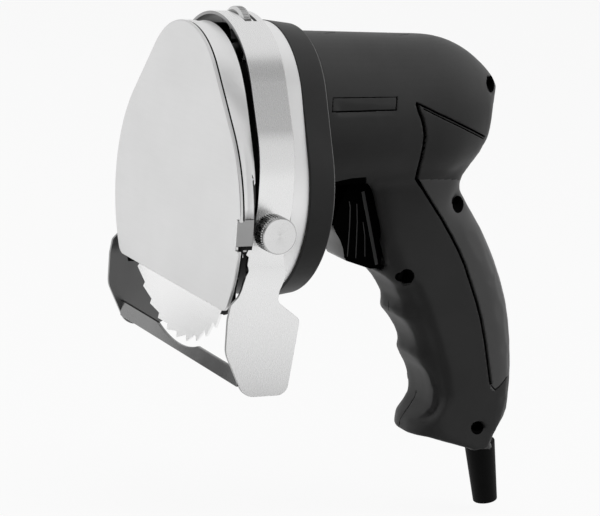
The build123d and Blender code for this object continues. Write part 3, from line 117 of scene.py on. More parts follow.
LABEL_LINES = (
    (((332.5, 112.0), (348.0, 111.6), (364.0, 111.2), (380.0, 110.6), (396.2, 110.2)), (), 0.30, 0.5),
    (((396.2, 110.2), (396.8, 103.5), (397.2, 97.2)), (), 0.36, 0.5),
    (((333.2, 98.0), (349.0, 97.8), (365.0, 97.6), (381.0, 97.4), (397.2, 97.2)), (), 0.17, 0.4),
    (((333.2, 98.0), (332.8, 105.0), (332.5, 112.0)), (), 0.17, 0.4),
)
GRIP_LINES = (
    (((388.7, 301.0), (388.9, 306.0), (388.5, 310.5)), (), 0.15, 0.3),
    (
        ((416.6, 391.0), (414.6, 397.0), (411.0, 403.0), (405.5, 411.0), (400.0, 419.5), (399.0, 427.0)), (), 0.17,
        0.35,
    ),
)
LINE_STEP = 3

# Dents and painted shade on the body: the hollow beside the finger grooves, the top and rear edges of the trigger's
# pocket (the rear as row and column) and its lowest row, painted black as shade, and the screw holes as middle and
# half sizes, in pixels
SHOULDER_HOLLOW = ((409.0, 292.0), (418.0, 312.0), (428.0, 345.0), (437.0, 375.0), (440.0, 395.0), (430.0, 410.0))
POCKET_TOP = ((320.0, 184.0), (337.0, 181.5), (352.0, 178.2), (366.3, 177.2))
POCKET_REAR = ((177.2, 366.3), (214.0, 374.0), (268.0, 385.6), (274.0, 384.0))
POCKET_FOOT = 273
SCREW_HOLES = (
    (491.0, 83.8, 3.4, 8.6), (458.0, 204.4, 5.6, 8.6), (407.0, 276.0, 7.4, 7.0), (401.0, 277.0, 6.0, 4.6),
    (477.0, 428.0, 6.2, 6.4),
)
HOLLOW_DEPTH = 2.0
HOLLOW_REACH = 7.5


def ease(value):
    value = np.clip(value, 0, 1)
    return value * value * (3 - 2 * value)


def settle(piece):
    """Turns the modifiers of a piece into its mesh."""
    depsgraph = bpy.context.evaluated_depsgraph_get()
    mesh = bpy.data.meshes.new_from_object(piece.evaluated_get(depsgraph))
    old = piece.data
    piece.modifiers.clear()
    piece.data = mesh
    bpy.data.meshes.remove(old)


def new_piece(name, build):
    """A new object from a bmesh."""
    mesh = bpy.data.meshes.new(name)
    build.to_mesh(mesh)
    build.free()
    piece = bpy.data.objects.new(name, mesh)
    scene.collection.objects.link(piece)
    return piece


def node_mesh(node):
    """The solid of a CAD node as a bmesh with joined points."""
    build = bmesh.new()
    build.from_mesh(nodes[node].data)
    bmesh.ops.remove_doubles(build, verts=build.verts, dist=1e-6)
    return build


def finish_piece(piece, body, slot, material, *replaced):
    """Gives a piece its material and its place in the frame."""
    piece.data.materials.clear()
    piece.data.materials.append(material)
    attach(piece, body)
    if replaced:
        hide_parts(*replaced)
    return piece


def dressed(node, name, edge, segments=3, shape=None):
    """A copy of a CAD node whose sharp edges are rounded. shape moves its points before that, in millimetres."""
    build = node_mesh(node)
    bmesh.ops.dissolve_limit(
        build, angle_limit=math.radians(0.6), verts=build.verts, edges=build.edges, delimit={"NORMAL"}
    )
    if shape:
        for point in build.verts:
            point.co = Vector(shape(*(point.co / MM))) * MM
    piece = new_piece(name, build)
    piece.data.polygons.foreach_set("use_smooth", [True] * len(piece.data.polygons))
    bevel = piece.modifiers.new("edge", "BEVEL")
    bevel.width = edge
    bevel.segments = segments
    bevel.limit_method = "ANGLE"
    bevel.angle_limit = math.radians(32.0)
    bevel.use_clamp_overlap = False
    normals = piece.modifiers.new("normals", "WEIGHTED_NORMAL")
    normals.weight = 100
    settle(piece)
    return piece


def paint(piece, material, test):
    """Gives a second material to the faces whose middle (in millimetres) and normal pass a test."""
    piece.data.materials.append(material)
    index = len(piece.data.materials) - 1
    for face in piece.data.polygons:
        if test(face.center / MM, face.normal):
            face.material_index = index


def outward(place, normal):
    """Above 0 where a face of the head looks away from the head's middle line."""
    return normal.x * place.x + normal.z * (place.z - 20)


def soften(piece, test, reach, lean=0.0, towards=None):
    """Shades the faces that pass a test with normals averaged over reach in millimetres and leaning one way."""
    mesh = piece.data
    chosen = [f for f in mesh.polygons if test(f.center / MM, f.normal)]
    middles = np.array([f.center for f in chosen]) / MM
    normals = np.array([f.normal * f.area for f in chosen])
    corners = np.empty(len(mesh.loops) * 3)
    mesh.corner_normals.foreach_get("vector", corners)
    corners = corners.reshape(-1, 3)
    for face in chosen:
        for loop in face.loop_indices:
            place = np.array(mesh.vertices[mesh.loops[loop].vertex_index].co) / MM
            weight = np.exp(-np.sum((middles - place) ** 2, axis=1) / reach ** 2)
            normal = weight @ normals
            normal /= np.linalg.norm(normal)
            if towards:
                normal = normal * (1 - lean) + np.array(towards(place)) * lean
            corners[loop] = normal / np.linalg.norm(normal)
    mesh.normals_split_custom_set(corners.tolist())


def turned(name, rings, teeth, start, axis, side, closed=False):
    """A turned and knurled piece. Each ring is (place along the axis, radius, depth of the knurls), in millimetres."""
    build = bmesh.new()
    up = axis.cross(side)
    loops = []
    for along, radius, knurl in rings:
        middle = start + axis * (along * MM)
        if radius == 0:
            loops.append([build.verts.new(middle)])
            continue
        loop = []
        for step in range(teeth * 6):
            angle = math.tau * step / (teeth * 6)
            reach = radius * MM - knurl * MM * (0.0, 0.0, 0.45, 1.0, 0.45, 0.0)[step % 6]
            loop.append(build.verts.new(middle + (side * math.cos(angle) + up * math.sin(angle)) * reach))
        loops.append(loop)
    for first, second in zip(loops, loops[1:] + loops[:1] if closed else loops[1:]):
        count = max(len(first), len(second))
        for step in range(count):
            after = (step + 1) % count
            corners = [first[step % len(first)], second[step % len(second)]]
            if len(second) > 1:
                corners.append(second[after])
            if len(first) > 1:
                corners.append(first[after])
            build.faces.new(corners)
    bmesh.ops.recalc_face_normals(build, faces=build.faces)
    piece = new_piece(name, build)
    shade(piece, 28.0)
    return piece


def shade(piece, angle):
    """Smooth shading, with edges sharper than angle kept."""
    mesh = piece.data
    mesh.polygons.foreach_set("use_smooth", [True] * len(mesh.polygons))
    mesh.set_sharp_from_angle(angle=math.radians(angle))


# Materials: each is a principled shader whose colour, roughness and relief vary with noise
def material_nodes(name):
    material = bpy.data.materials.new(name)
    material.use_nodes = True
    tree = material.node_tree
    shader = tree.nodes["Principled BSDF"]
    place = tree.nodes.new("ShaderNodeTexCoord")
    return material, tree, shader, place


def noise_of(tree, place, scale, stretch, detail):
    """Noise in the frame's own coordinates; scale is in features per metre."""
    mapping = tree.nodes.new("ShaderNodeMapping")
    mapping.inputs["Scale"].default_value = stretch
    noise = tree.nodes.new("ShaderNodeTexNoise")
    noise.inputs["Scale"].default_value = scale
    noise.inputs["Detail"].default_value = detail
    tree.links.new(place.outputs["Object"], mapping.inputs["Vector"])
    tree.links.new(mapping.outputs["Vector"], noise.inputs["Vector"])
    return noise


def ramp_of(tree, source, low, high):
    """A ramp from one colour to another over the middle of a noise."""
    ramp = tree.nodes.new("ShaderNodeValToRGB")
    first, last = ramp.color_ramp.elements
    first.position, last.position = 0.3, 0.7
    first.color = (*low, 1)
    last.color = (*high, 1)
    tree.links.new(source, ramp.inputs["Fac"])
    return ramp


def grey(value):
    return (value, value, value)


def bump_of(tree, shader, source, strength, distance):
    bump = tree.nodes.new("ShaderNodeBump")
    bump.inputs["Strength"].default_value = strength
    bump.inputs["Distance"].default_value = distance
    tree.links.new(source, bump.inputs["Height"])
    tree.links.new(bump.outputs["Normal"], shader.inputs["Normal"])


def metal(name, low, high, rough_low, rough_high, stretch, scale, relief):
    """Brushed or polished metal: fine streaks along one way and slow changes of tone."""
    material, tree, shader, place = material_nodes(name)
    shader.inputs["Metallic"].default_value = 1.0
    streaks = noise_of(tree, place, scale, stretch, 6.0)
    cloud = noise_of(tree, place, 25.0, (1, 1, 1), 3.0)
    colour = ramp_of(tree, cloud.outputs["Fac"], low, high)
    tree.links.new(colour.outputs["Color"], shader.inputs["Base Color"])
    rough = ramp_of(tree, streaks.outputs["Fac"], grey(rough_low), grey(rough_high))
    tree.links.new(rough.outputs["Color"], shader.inputs["Roughness"])
    bump_of(tree, shader, streaks.outputs["Fac"], relief, 0.0002)
    return material


def plastic(name, low, high, rough_low, rough_high, grain, relief, specular):
    """Moulded plastic or rubber with a fine spark-eroded grain."""
    material, tree, shader, place = material_nodes(name)
    shader.inputs["Specular IOR Level"].default_value = specular
    fine = noise_of(tree, place, grain, (1, 1, 1), 3.0)
    cloud = noise_of(tree, place, 35.0, (1, 1, 1), 3.0)
    colour = ramp_of(tree, cloud.outputs["Fac"], low, high)
    tree.links.new(colour.outputs["Color"], shader.inputs["Base Color"])
    rough = ramp_of(tree, fine.outputs["Fac"], grey(rough_low), grey(rough_high))
    tree.links.new(rough.outputs["Color"], shader.inputs["Roughness"])
    bump_of(tree, shader, fine.outputs["Fac"], relief, 0.0003)
    return material


cover_metal = metal("cover_metal", grey(0.72), grey(0.76), 0.34, 0.40, (0.06, 1, 1), 700.0, 0.03)
drum_metal = metal("drum_metal", grey(0.87), grey(0.91), 0.38, 0.41, (1, 0.06, 1), 700.0, 0.01)
guide_metal = metal("guide_metal", grey(0.84), grey(0.87), 0.27, 0.28, (0.3, 4, 0.3), 900.0, 0.0001)
# Darker copies of the guide's steel, for its edges, its inner faces and the foot bar: painted shade and painted dark
# reflections
guide_edge_shade = metal("guide_edge_shade", grey(0.30), grey(0.36), 0.28, 0.34, (0.08, 1, 0.08), 900.0, 0.02)
guide_inner_shade = metal("guide_inner_shade", grey(0.13), grey(0.17), 0.30, 0.36, (0.08, 1, 0.08), 900.0, 0.02)
bar_dark_reflection = metal("bar_dark_reflection", grey(0.19), grey(0.22), 0.16, 0.19, (0.08, 1, 0.08), 900.0, 0.002)
clip_metal = metal("clip_metal", grey(0.30), grey(0.36), 0.30, 0.38, (1, 0.08, 1), 900.0, 0.03)
cast_metal = metal("cast_metal", grey(0.94), grey(0.97), 0.46, 0.52, (1, 1, 1), 1500.0, 0.02)
blade_metal = metal("blade_metal", grey(0.92), grey(0.95), 0.24, 0.27, (0.05, 1, 1), 500.0, 0.005)
plated_metal = metal("plated_metal", grey(0.70), grey(0.75), 0.22, 0.28, (1, 1, 1), 1200.0, 0.01)
knurl_metal = metal("knurl_metal", grey(0.44), grey(0.52), 0.24, 0.32, (1, 1, 1), 1200.0, 0.03)
# Black metal of painted shade and painted dark reflections, for faces that lie in shade or reflect dark surroundings
painted_shade_metal = metal("painted_shade_metal", grey(0.010), grey(0.016), 0.40, 0.50, (1, 1, 1), 1200.0, 0.04)
machined_metal = metal("machined_metal", grey(0.50), grey(0.58), 0.24, 0.34, (1, 0.1, 1), 1200.0, 0.08)
core_metal = metal("core_metal", grey(0.22), grey(0.28), 0.40, 0.50, (0.05, 3, 0.05), 900.0, 0.30)
copper_wire = metal("copper_wire", (0.55, 0.24, 0.10), (0.66, 0.32, 0.15), 0.28, 0.40, (3, 0.1, 3), 900.0, 0.35)
carbon = plastic("carbon", grey(0.020), grey(0.035), 0.50, 0.65, 2500.0, 0.10, 0.3)
body_plastic = plastic("body_plastic", grey(0.070), grey(0.085), 0.44, 0.52, 2600.0, 0.10, 0.12)
collar_plastic = plastic("collar_plastic", grey(0.055), grey(0.066), 0.42, 0.50, 2600.0, 0.06, 0.12)
trigger_plastic = plastic("trigger_plastic", grey(0.004), grey(0.006), 0.50, 0.60, 2600.0, 0.05, 0.0)
# Lighter plastics for the trigger's ribs, the grip panel and bright edges are painted light; the near-black one is
# painted shade in grooves, holes and the trigger's pocket
rib_highlight_plastic = plastic("rib_highlight_plastic", grey(0.10), grey(0.13), 0.30, 0.40, 2600.0, 0.03, 0.2)
painted_light_panel = plastic("painted_light_panel", grey(0.190), grey(0.210), 0.44, 0.52, 2600.0, 0.10, 0.12)
painted_shade_plastic = plastic("painted_shade_plastic", grey(0.004), grey(0.006), 0.60, 0.70, 2600.0, 0.05, 0.0)
painted_light_plastic = plastic("painted_light_plastic", grey(0.42), grey(0.50), 0.30, 0.38, 2600.0, 0.02, 0.3)
inner_plastic = plastic("inner_plastic", (0.60, 0.58, 0.52), (0.68, 0.66, 0.60), 0.40, 0.52, 2000.0, 0.06, 0.5)
sleeve_rubber = plastic("sleeve_rubber", grey(0.008), grey(0.012), 0.50, 0.62, 2200.0, 0.08, 0.06)

# Painted light: the panel of the grip is as dark as the body at the waist and painted lighter below it, standing for
# the light that falls on it
tree = painted_light_panel.node_tree
height = tree.nodes.new("ShaderNodeSeparateXYZ")
span = tree.nodes.new("ShaderNodeMapRange")
span.inputs["From Min"].default_value = 0.024
span.inputs["From Max"].default_value = 0.013
blend = tree.nodes.new("ShaderNodeMix")
blend.data_type = "RGBA"
blend.inputs["A"].default_value = (0.09, 0.09, 0.09, 1)
shader = tree.nodes["Principled BSDF"]
lighter = shader.inputs["Base Color"].links[0].from_socket
place = next(n for n in tree.nodes if n.bl_idname == "ShaderNodeTexCoord")
tree.links.new(place.outputs["Object"], height.inputs["Vector"])
tree.links.new(height.outputs["Z"], span.inputs["Value"])
tree.links.new(span.outputs["Result"], blend.inputs["Factor"])
tree.links.new(lighter, blend.inputs["B"])
tree.links.new(blend.outputs["Result"], shader.inputs["Base Color"])

inner_looks = {
    cast_metal: ("motor_plate",),
    machined_metal: (
        "spindle", "blade_washer", "drive_gear", "pinion", "gear_spacers", "spindle_front_bearing",
        "spindle_rear_bearing", "motor_front_bearing", "motor_rear_bearing", "motor_shaft", "trigger_pin",
        "adjusting_stud",
    ),
    plated_metal: ("drum_screws", "blade_screw", "case_screws", "clamp_screws"),
    # the housing screws are painted black, as shade deep in their recesses
    painted_shade_metal: ("housing_screws",),
    core_metal: ("armature", "stator_core"),
    copper_wire: ("armature_windings", "commutator", "field_coils"),
    carbon: ("carbon_brushes",),
    inner_plastic: ("cooling_fan", "brush_holders", "switch_body", "switch_plunger", "cord_clamp"),
    sleeve_rubber: ("supply_lead", "motor_leads"),
}
for material, names in inner_looks.items():
    for name in names:
        nodes[name].data.materials.clear()
        nodes[name].data.materials.append(material)

# Head: cover, drum, guide, ring and collar, with painted shade and painted dark reflections on the faces that show
# dark in the picture
finish_piece(
    dressed("front_cover", "cover_plate", 0.25 * MM), "motor_unit", "cover_metal", cover_metal, "front_cover"
)
DRUM_TOP_DROP = 3.2
drum = new_piece("drum_pan", node_mesh("blade_drum"))
for point in drum.data.vertices:
    x, y, z = point.co / MM
    point.co.z -= DRUM_TOP_DROP * MM * float(ease((z - 48) / 16) * ease((y - 2.4) / 9))
shade(drum, 28.0)
soften(
    drum,
    lambda place, normal: 2.3 < place.y < 11.8 and place.z > 6.5 and abs(normal.y) < 0.9
    and outward(place, normal) > 0,
    5.0,
)
finish_piece(drum, "motor_unit", "cover_metal", drum_metal, "blade_drum")
# Painted shade and painted dark reflections: the shadow gap behind the cover, the rear rim, the lower wall and the
# inward faces of the drum are painted black
paint(
    drum, painted_shade_metal,
    lambda place, normal: place.y < 2.35 or (normal.y > 0.6 and place.y > 9) or place.z < 6.4
    or outward(place, normal) < 0,
)

# Guide: how far the front edge of its arms moves along Y at each height, in millimetres
ARM_SHIFT = ((-28.0, 0.0), (-23.0, -0.3), (-18.0, -0.95), (-15.5, 0.3), (-13.0, 1.3), (-8.0, 0.7), (-3.0, 0.0))


def straighten(x, y, z):
    """Takes the kink out of the front edge of the guide's arms."""
    if abs(x) > 50 and y < 10:
        y += float(np.interp(z, *zip(*ARM_SHIFT)))
    return x, y, z


guide = finish_piece(
    dressed("depth_guide", "guide_strip", 0.25 * MM, shape=straighten), "guide", "guide_steel", guide_metal,
    "depth_guide",
)
# Painted shade: the front and rear edges of the guide strip and the undersides of its feet are painted darker
paint(guide, guide_edge_shade, lambda place, normal: abs(normal.y) > 0.5 or (place.z < -60 and normal.z < -0.5))
# Painted shade: the inner faces of the guide, which look towards the head, are painted dark
paint(
    guide, guide_inner_shade,
    lambda place, normal: abs(normal.y) <= 0.5 and normal.x * place.x + normal.z * (place.z - 19) * (place.z > 19) < 0
    and not (place.z < -60 and normal.z < -0.5),
)
soften(
    guide, lambda place, normal: -31 < place.z < -5 and normal.x * math.copysign(1, place.x) > 0.35, 3.0, 0.88,
    lambda place: (math.copysign(1, place[0]), 0, 0),
)
# The foot bar is the guide's steel painted dark, as a painted dark reflection
finish_piece(dressed("guide_bar", "foot_bar", 0.25 * MM), "guide", "guide_steel", bar_dark_reflection, "guide_bar")
case = finish_piece(dressed("gear_case", "gear_pot", 0.3 * MM), "motor_unit", "cast_metal", cast_metal, "gear_case")
soften(
    case,
    lambda place, normal: place.y > 31 and abs(normal.y) < 0.5 and outward(place, normal) > 0,
    3.0, 0.1, lambda place: (0, 1, 0),
)
# Painted shade: the front of the gear case, seen in the gap between drum and guide, is painted black except a band
# round its middle
paint(case, painted_shade_metal, lambda place, normal: place.y < 31.2 and not -13 < place.z < -8)
collar = finish_piece(
    dressed("front_collar", "collar_shroud", 0.45 * MM), "motor_unit", "collar_plastic", collar_plastic,
    "front_collar",
)
collar_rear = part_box("front_collar")[1].y / MM
# Painted highlight: the rounded rear edge of the collar is painted light
paint(
    collar, painted_light_plastic,
    lambda place, normal: place.y > collar_rear - 0.6 and 0.25 < normal.y < 0.9 and outward(place, normal) > 0,
)
finish_piece(dressed("blade", "toothed_blade", 0.12 * MM, 2), "cutter", "blade_steel", blade_metal, "blade")


def hug(x, y, z):
    """Draws the clip close to the edge of the plate."""
    side = 1 if x > 0 else -1
    reach_x = abs(x)
    if y < 0.2 and reach_x < 62:
        reach_x += 2.2
    if reach_x > 55:
        z += 1.4
    if y < -0.5:
        y = -0.7
    elif 8 < y < 10:
        y -= 2.4
    return side * reach_x, y, z


for side, direction in (("left", 1), ("right", -1)):
    clip = finish_piece(
        dressed(f"{side}_cover_clip", f"{side}_clip", 0.3 * MM, shape=hug), "motor_unit", "guide_steel", clip_metal,
        f"{side}_cover_clip",
    )
    # Painted shade on the clip's top and bottom faces, and a painted bright reflection on its front faces
    paint(clip, painted_shade_metal, lambda place, normal: abs(normal.z) > 0.6)
    paint(clip, plated_metal, lambda place, normal: normal.y < -0.5)
    low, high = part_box(f"{side}_thumb_screw")
    length = (high.x - low.x) / MM
    rings = [
        (0, 0, 0), (0, 2.6, 0), (0.4, 3.0, 0), (length - 14.0, 3.0, 0), (length - 14.0, 5.3, 0),
        (length - 13.8, 5.5, 0), (length - 9.6, 5.5, 0), (length - 9.6, 7.3, 0), (length - 9.0, 8.0, 0.5),
        (length - 2.2, 8.0, 0.5), (length - 1.7, 7.4, 0), (length - 1.3, 7.4, 0), (length - 0.9, 7.9, 0),
        (length - 0.35, 7.85, 0), (length, 7.4, 0), (length, 1.5, 0), (length - 0.05, 1.3, 0),
        (length - 0.05, 1.0, 0), (length - 0.2, 0.5, 0), (length - 0.22, 0, 0),
    ]
    knob = turned(
        f"{side}_knob", rings, 44,
        Vector((low.x if direction > 0 else high.x, 18.5 * MM, 0)), Vector((direction, 0, 0)), Vector((0, 1, 0)),
    )
    finish_piece(knob, f"{side}_thumb_screw", "screw_steel", plated_metal, f"{side}_thumb_screw")
    paint(knob, knurl_metal, lambda place, normal: abs(normal.x) < 0.9)

low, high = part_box("adjusting_wheel")
width = (high.y - low.y) / MM
rings = [
    (0, 3.2, 0), (0, 11.6, 0), (0.9, 12.95, 0.1), (1.2, 13.0, 0.8), (width - 1.2, 13.0, 0.8),
    (width - 0.9, 12.95, 0.1), (width, 11.6, 0), (width, 3.2, 0),
]
wheel = turned(
    "knurled_wheel", rings, 48,
    Vector((0, low.y, (low.z + high.z) / 2)), Vector((0, 1, 0)), Vector((0, 0, 1)), closed=True,
)
finish_piece(wheel, "adjusting_wheel", "screw_steel", plated_metal, "adjusting_wheel")
paint(wheel, clip_metal, lambda place, normal: normal.y < -0.9)
paint(wheel, knurl_metal, lambda place, normal: abs(normal.y) < 0.5)

# Trigger: a lever of one side profile (y, z), with raised ribs (y, z points and half width) on both cheeks
LEVER_PROFILE = (
    (99.4, 9.8), (81.5, 9.8), (78.6, 5.0), (76.4, 0.0), (74.6, -5.0), (73.6, -10.0), (75.4, -13.5), (77.6, -16.6),
    (79.4, -20.5), (80.5, -24.9), (81.6, -26.4), (94.0, -30.6), (99.4, -30.4),
)
LEVER_RIBS = (
    (((80.6, 0.9), (81.3, -1.7), (81.7, -10.3), (81.7, -24.3)), 0.30),
    (((84.5, -0.2), (85.4, -8.6), (86.0, -25.1)), 0.26),
    (((88.3, -8.7), (89.7, -14.7), (90.6, -24.6)), 0.24),
    (((87.1, 5.3), (91.4, -9.6), (96.9, -28.6)), 1.0),
)
LEVER_HALF_WIDTH = 9.6


def lever_mesh():
    """The lever as one block, with its edges rounded, and the ribs set into its cheeks."""
    build = bmesh.new()
    cheek = [build.verts.new((-LEVER_HALF_WIDTH * MM, y * MM, z * MM)) for y, z in LEVER_PROFILE]
    face = build.faces.new(cheek)
    swept = bmesh.ops.extrude_face_region(build, geom=[face])["geom"]
    moved = [v for v in swept if isinstance(v, bmesh.types.BMVert)]
    bmesh.ops.translate(build, verts=moved, vec=(2 * LEVER_HALF_WIDTH * MM, 0, 0))
    rims = [e for e in build.edges if abs(e.verts[0].co.x - e.verts[1].co.x) < 1e-6]
    bmesh.ops.bevel(build, geom=rims, offset=0.5 * MM, offset_type="OFFSET", segments=3, profile=0.5, affect="EDGES")
    for side in (1, -1):
        for line, half_width in LEVER_RIBS:
            start = (LEVER_HALF_WIDTH - 0.4) * side * MM
            top = (LEVER_HALF_WIDTH + 0.35) * side * MM
            rows = []
            for index, (y, z) in enumerate(line):
                before, after = line[max(index - 1, 0)], line[min(index + 1, len(line) - 1)]
                run = Vector((after[0] - before[0], after[1] - before[1])).normalized()
                over = Vector((run.y, -run.x)) * half_width
                rows.append([
                    build.verts.new((depth, (y + share * over.x) * MM, (z + share * over.y) * MM))
                    for depth, share in ((start, -1), (top, -0.8), (top, 0.8), (start, 1))
                ])
            for first, second in zip(rows, rows[1:]):
                for step in range(4):
                    after = (step + 1) % 4
                    build.faces.new((first[step], first[after], second[after], second[step]))
            build.faces.new(rows[0])
            build.faces.new(rows[-1])
    bmesh.ops.recalc_face_normals(build, faces=build.faces)
    return build


lever = new_piece("finger_lever", lever_mesh())
shade(lever, 40.0)
finish_piece(lever, "trigger", "trigger_plastic", trigger_plastic, "trigger")
# Painted highlights on the ribs of the lever, and painted light on its lower front face
paint(lever, rib_highlight_plastic, lambda place, normal: abs(place.x) > LEVER_HALF_WIDTH + 0.02)
paint(lever, painted_light_plastic, lambda place, normal: normal.y < -0.3 and place.z < -11 and abs(place.x) < 9.3)

finish_piece(
    dressed("cord_sleeve", "bend_sleeve", 0.5 * MM), "motor_unit", "cord_rubber", sleeve_rubber, "cord_sleeve"
)


# Pistol body: both halves as one fine mesh, softened as a moulding is, then parted again
def joined_halves():
    """The two housing halves without their parting faces, as one bmesh."""
    whole = bmesh.new()
    for node in ("left_housing", "right_housing"):
        build = node_mesh(node)
        parting = [f for f in build.faces if all(abs(v.co.x) < 1e-6 for v in f.verts)]
        bmesh.ops.delete(build, geom=parting, context="FACES")
        mesh = bpy.data.meshes.new(node)
        build.to_mesh(mesh)
        build.free()
        whole.from_mesh(mesh)
        bpy.data.meshes.remove(mesh)
    bmesh.ops.remove_doubles(whole, verts=whole.verts, dist=2e-5)
    return whole


def crease_points():
    """Points along the hollow edges where the grip meets the barrel."""
    points = []
    build = node_mesh("left_housing")
    for edge in build.edges:
        if len(edge.link_faces) != 2 or edge.calc_face_angle_signed(0) > -0.25:
            continue
        middle = (edge.verts[0].co + edge.verts[1].co) / 2
        x, y, z = middle / MM
        if 88 < y < 152 and -4 < z < 34 and x > 7:
            steps = max(2, int(edge.calc_length() / (0.8 * MM)))
            for step in range(steps + 1):
                points.append(edge.verts[0].co.lerp(edge.verts[1].co, step / steps))
    build.free()
    return points


def mesh_arrays(mesh):
    count = len(mesh.vertices)
    places = np.empty(count * 3)
    mesh.vertices.foreach_get("co", places)
    edges = np.empty(len(mesh.edges) * 2, np.int64)
    mesh.edges.foreach_get("vertices", edges)
    return places.reshape(-1, 3), edges.reshape(-1, 2)


def smooth_points(places, edges, weight, rounds):
    """Moves each point towards the middle of its neighbours by its weight."""
    count = np.bincount(edges.ravel(), minlength=len(places)).clip(1)
    for _ in range(rounds):
        total = np.zeros_like(places)
        np.add.at(total, edges[:, 0], places[edges[:, 1]])
        np.add.at(total, edges[:, 1], places[edges[:, 0]])
        places += weight[:, None] * (total / count[:, None] - places)
    return places


def distance_to(points, places):
    """How far each place is from a cloud of points."""
    tree = KDTree(len(points))
    for index, point in enumerate(points):
        tree.insert(point, index)
    tree.balance()
    return np.array([tree.find(place)[2] for place in places])


def distance_to_line(line, places):
    """How far each place is from a line through points, up to 9 mm round it."""
    nearest = np.full(len(places), 1e9)
    margin = 9 * MM
    inside = np.all((places > line.min(0) - margin) & (places < line.max(0) + margin), axis=1)
    around = places[inside]
    found = np.full(len(around), 1e9)
    for start, end in zip(line, line[1:]):
        run = end - start
        share = np.clip((around - start) @ run / (run @ run), 0, 1)
        gap = np.linalg.norm(around - (start + share[:, None] * run), axis=1)
        found = np.minimum(found, gap)
    nearest[inside] = found
    return nearest


def in_picture(places):
    """Where places, mirrored to the left side, fall in the picture."""
    from_camera = places - np.array(CAMERA_PLACE)
    from_camera[:, 0] = np.abs(places[:, 0]) - CAMERA_PLACE[0]
    depth = -from_camera @ np.array(back)
    u = PICTURE_WIDTH / 2 + FOCUS * (from_camera @ np.array(across)) / depth
    v = PICTURE_HEIGHT / 2 - FOCUS * (from_camera @ np.array(above)) / depth
    return u, v


def on_body(surface, line, hidden):
    """Points of the body's surface under points of the picture, then the nearest ones to hidden points."""
    points = []
    close_line = []
    for (u, v), (next_u, next_v) in zip(line, line[1:]):
        steps = max(1, round(math.hypot(next_u - u, next_v - v) / LINE_STEP))
        close_line += [(u + (next_u - u) * s / steps, v + (next_v - v) * s / steps) for s in range(steps)]
    for u, v in close_line + [line[-1]]:
        way = across * ((u - PICTURE_WIDTH / 2) / FOCUS) - above * ((v - PICTURE_HEIGHT / 2) / FOCUS) - back
        hit = surface.ray_cast(Vector(CAMERA_PLACE), way.normalized())[0]
        if hit:
            points.append(hit)
    for place in hidden:
        points.append(surface.find_nearest(Vector(place) * MM)[0])
    return np.array(points)


body = new_piece("body", joined_halves())
remesh = body.modifiers.new("remesh", "REMESH")
remesh.mode = "VOXEL"
remesh.voxel_size = BODY_VOXEL * MM
settle(body)
places, edges = mesh_arrays(body.data)
places = smooth_points(places, edges, np.full(len(places), 0.5), 2)
mirrored = np.abs(places)
mirrored[:, 1:] = places[:, 1:]
crease = ease(1 - distance_to(crease_points(), mirrored) / (11.0 * MM))
places = smooth_points(places, edges, 0.5 * crease, 150)
x, y, z = np.abs(places[:, 0]) / MM, places[:, 1] / MM, places[:, 2] / MM
shoulder = ease((x - 4.5) / 4) * ease((-36 - z) / 6) * ease((z + 113) / 6) * ease((140 - y - 0.12 * (z + 70)) / 10)
places = smooth_points(places, edges, 0.5 * shoulder, 70)

# The rear and the front of the body are brought to the outline of the photograph
y, z = places[:, 1] / MM, places[:, 2] / MM
layer = np.round(z).astype(int)
layer -= layer.min()
rear_at = np.full(layer.max() + 1, -1e9)
front_at = np.full(layer.max() + 1, 1e9)
np.maximum.at(rear_at, layer, y)
np.minimum.at(front_at, layer, y)
rear_share = ease((y - rear_at[layer] + 15) / 15)
front_share = ease((front_at[layer] + 15 - y) / 15)
moved = np.interp(z, *zip(*REAR_SHIFT)) * rear_share
moved += np.interp(z, *zip(*FRONT_SHIFT), right=0.0) * front_share
places[:, 1] += moved * MM
foot_share = ease((-104 - z) / 10) * ease((y - 118) / 12) * ease((166 - y) / 10)
places[:, 2] += 2.6 * MM * foot_share
places = smooth_points(places, edges, 0.5 * front_share * ease((-32 - z) / 6), 8)
body.data.vertices.foreach_set("co", places.ravel())

build = bmesh.new()
build.from_mesh(body.data)
build.normal_update()
surface = BVHTree.FromBMesh(build)
seams = []
for line, hidden, half_width, depth in BODY_LINES + LABEL_LINES + GRIP_LINES:
    points = on_body(surface, line, hidden)
    both_sides = (1, -1) if (line, hidden, half_width, depth) in BODY_LINES else (1,)
    for side in both_sides:
        seams.append((points * np.array((side, 1, 1)), half_width * MM, depth * MM))
hollow = on_body(surface, SHOULDER_HOLLOW, ())


def gaps(places):
    """How far each place is from the seams, measured in half widths of the nearest one, and its press depth."""
    near = np.full(len(places), 1e9)
    press = np.zeros(len(places))
    for line, half_width, depth in seams:
        gap = distance_to_line(line, places)
        near = np.minimum(near, gap / half_width)
        press = np.maximum(press, depth * ease((half_width - gap) / (0.5 * half_width) + 0.5))
    return near, press


def painted_shade_places(places):
    """How far each place is inside (below 0) or outside the places painted black as shade: the trigger's pocket and
    the screw holes, in pixels.
    """
    u, v = in_picture(places)
    below = np.interp(u, *zip(*POCKET_TOP), right=1e3) - v
    ahead = u - np.interp(v, *zip(*POCKET_REAR))
    outside = np.maximum(np.maximum(below, ahead), v - POCKET_FOOT)
    for middle_u, middle_v, half_u, half_v in SCREW_HOLES:
        ring = np.hypot((u - middle_u) / half_u, (v - middle_v) / half_v) - 1
        outside = np.minimum(outside, np.where(places[:, 0] > 4 * MM, ring * min(half_u, half_v), 1e3))
    return outside


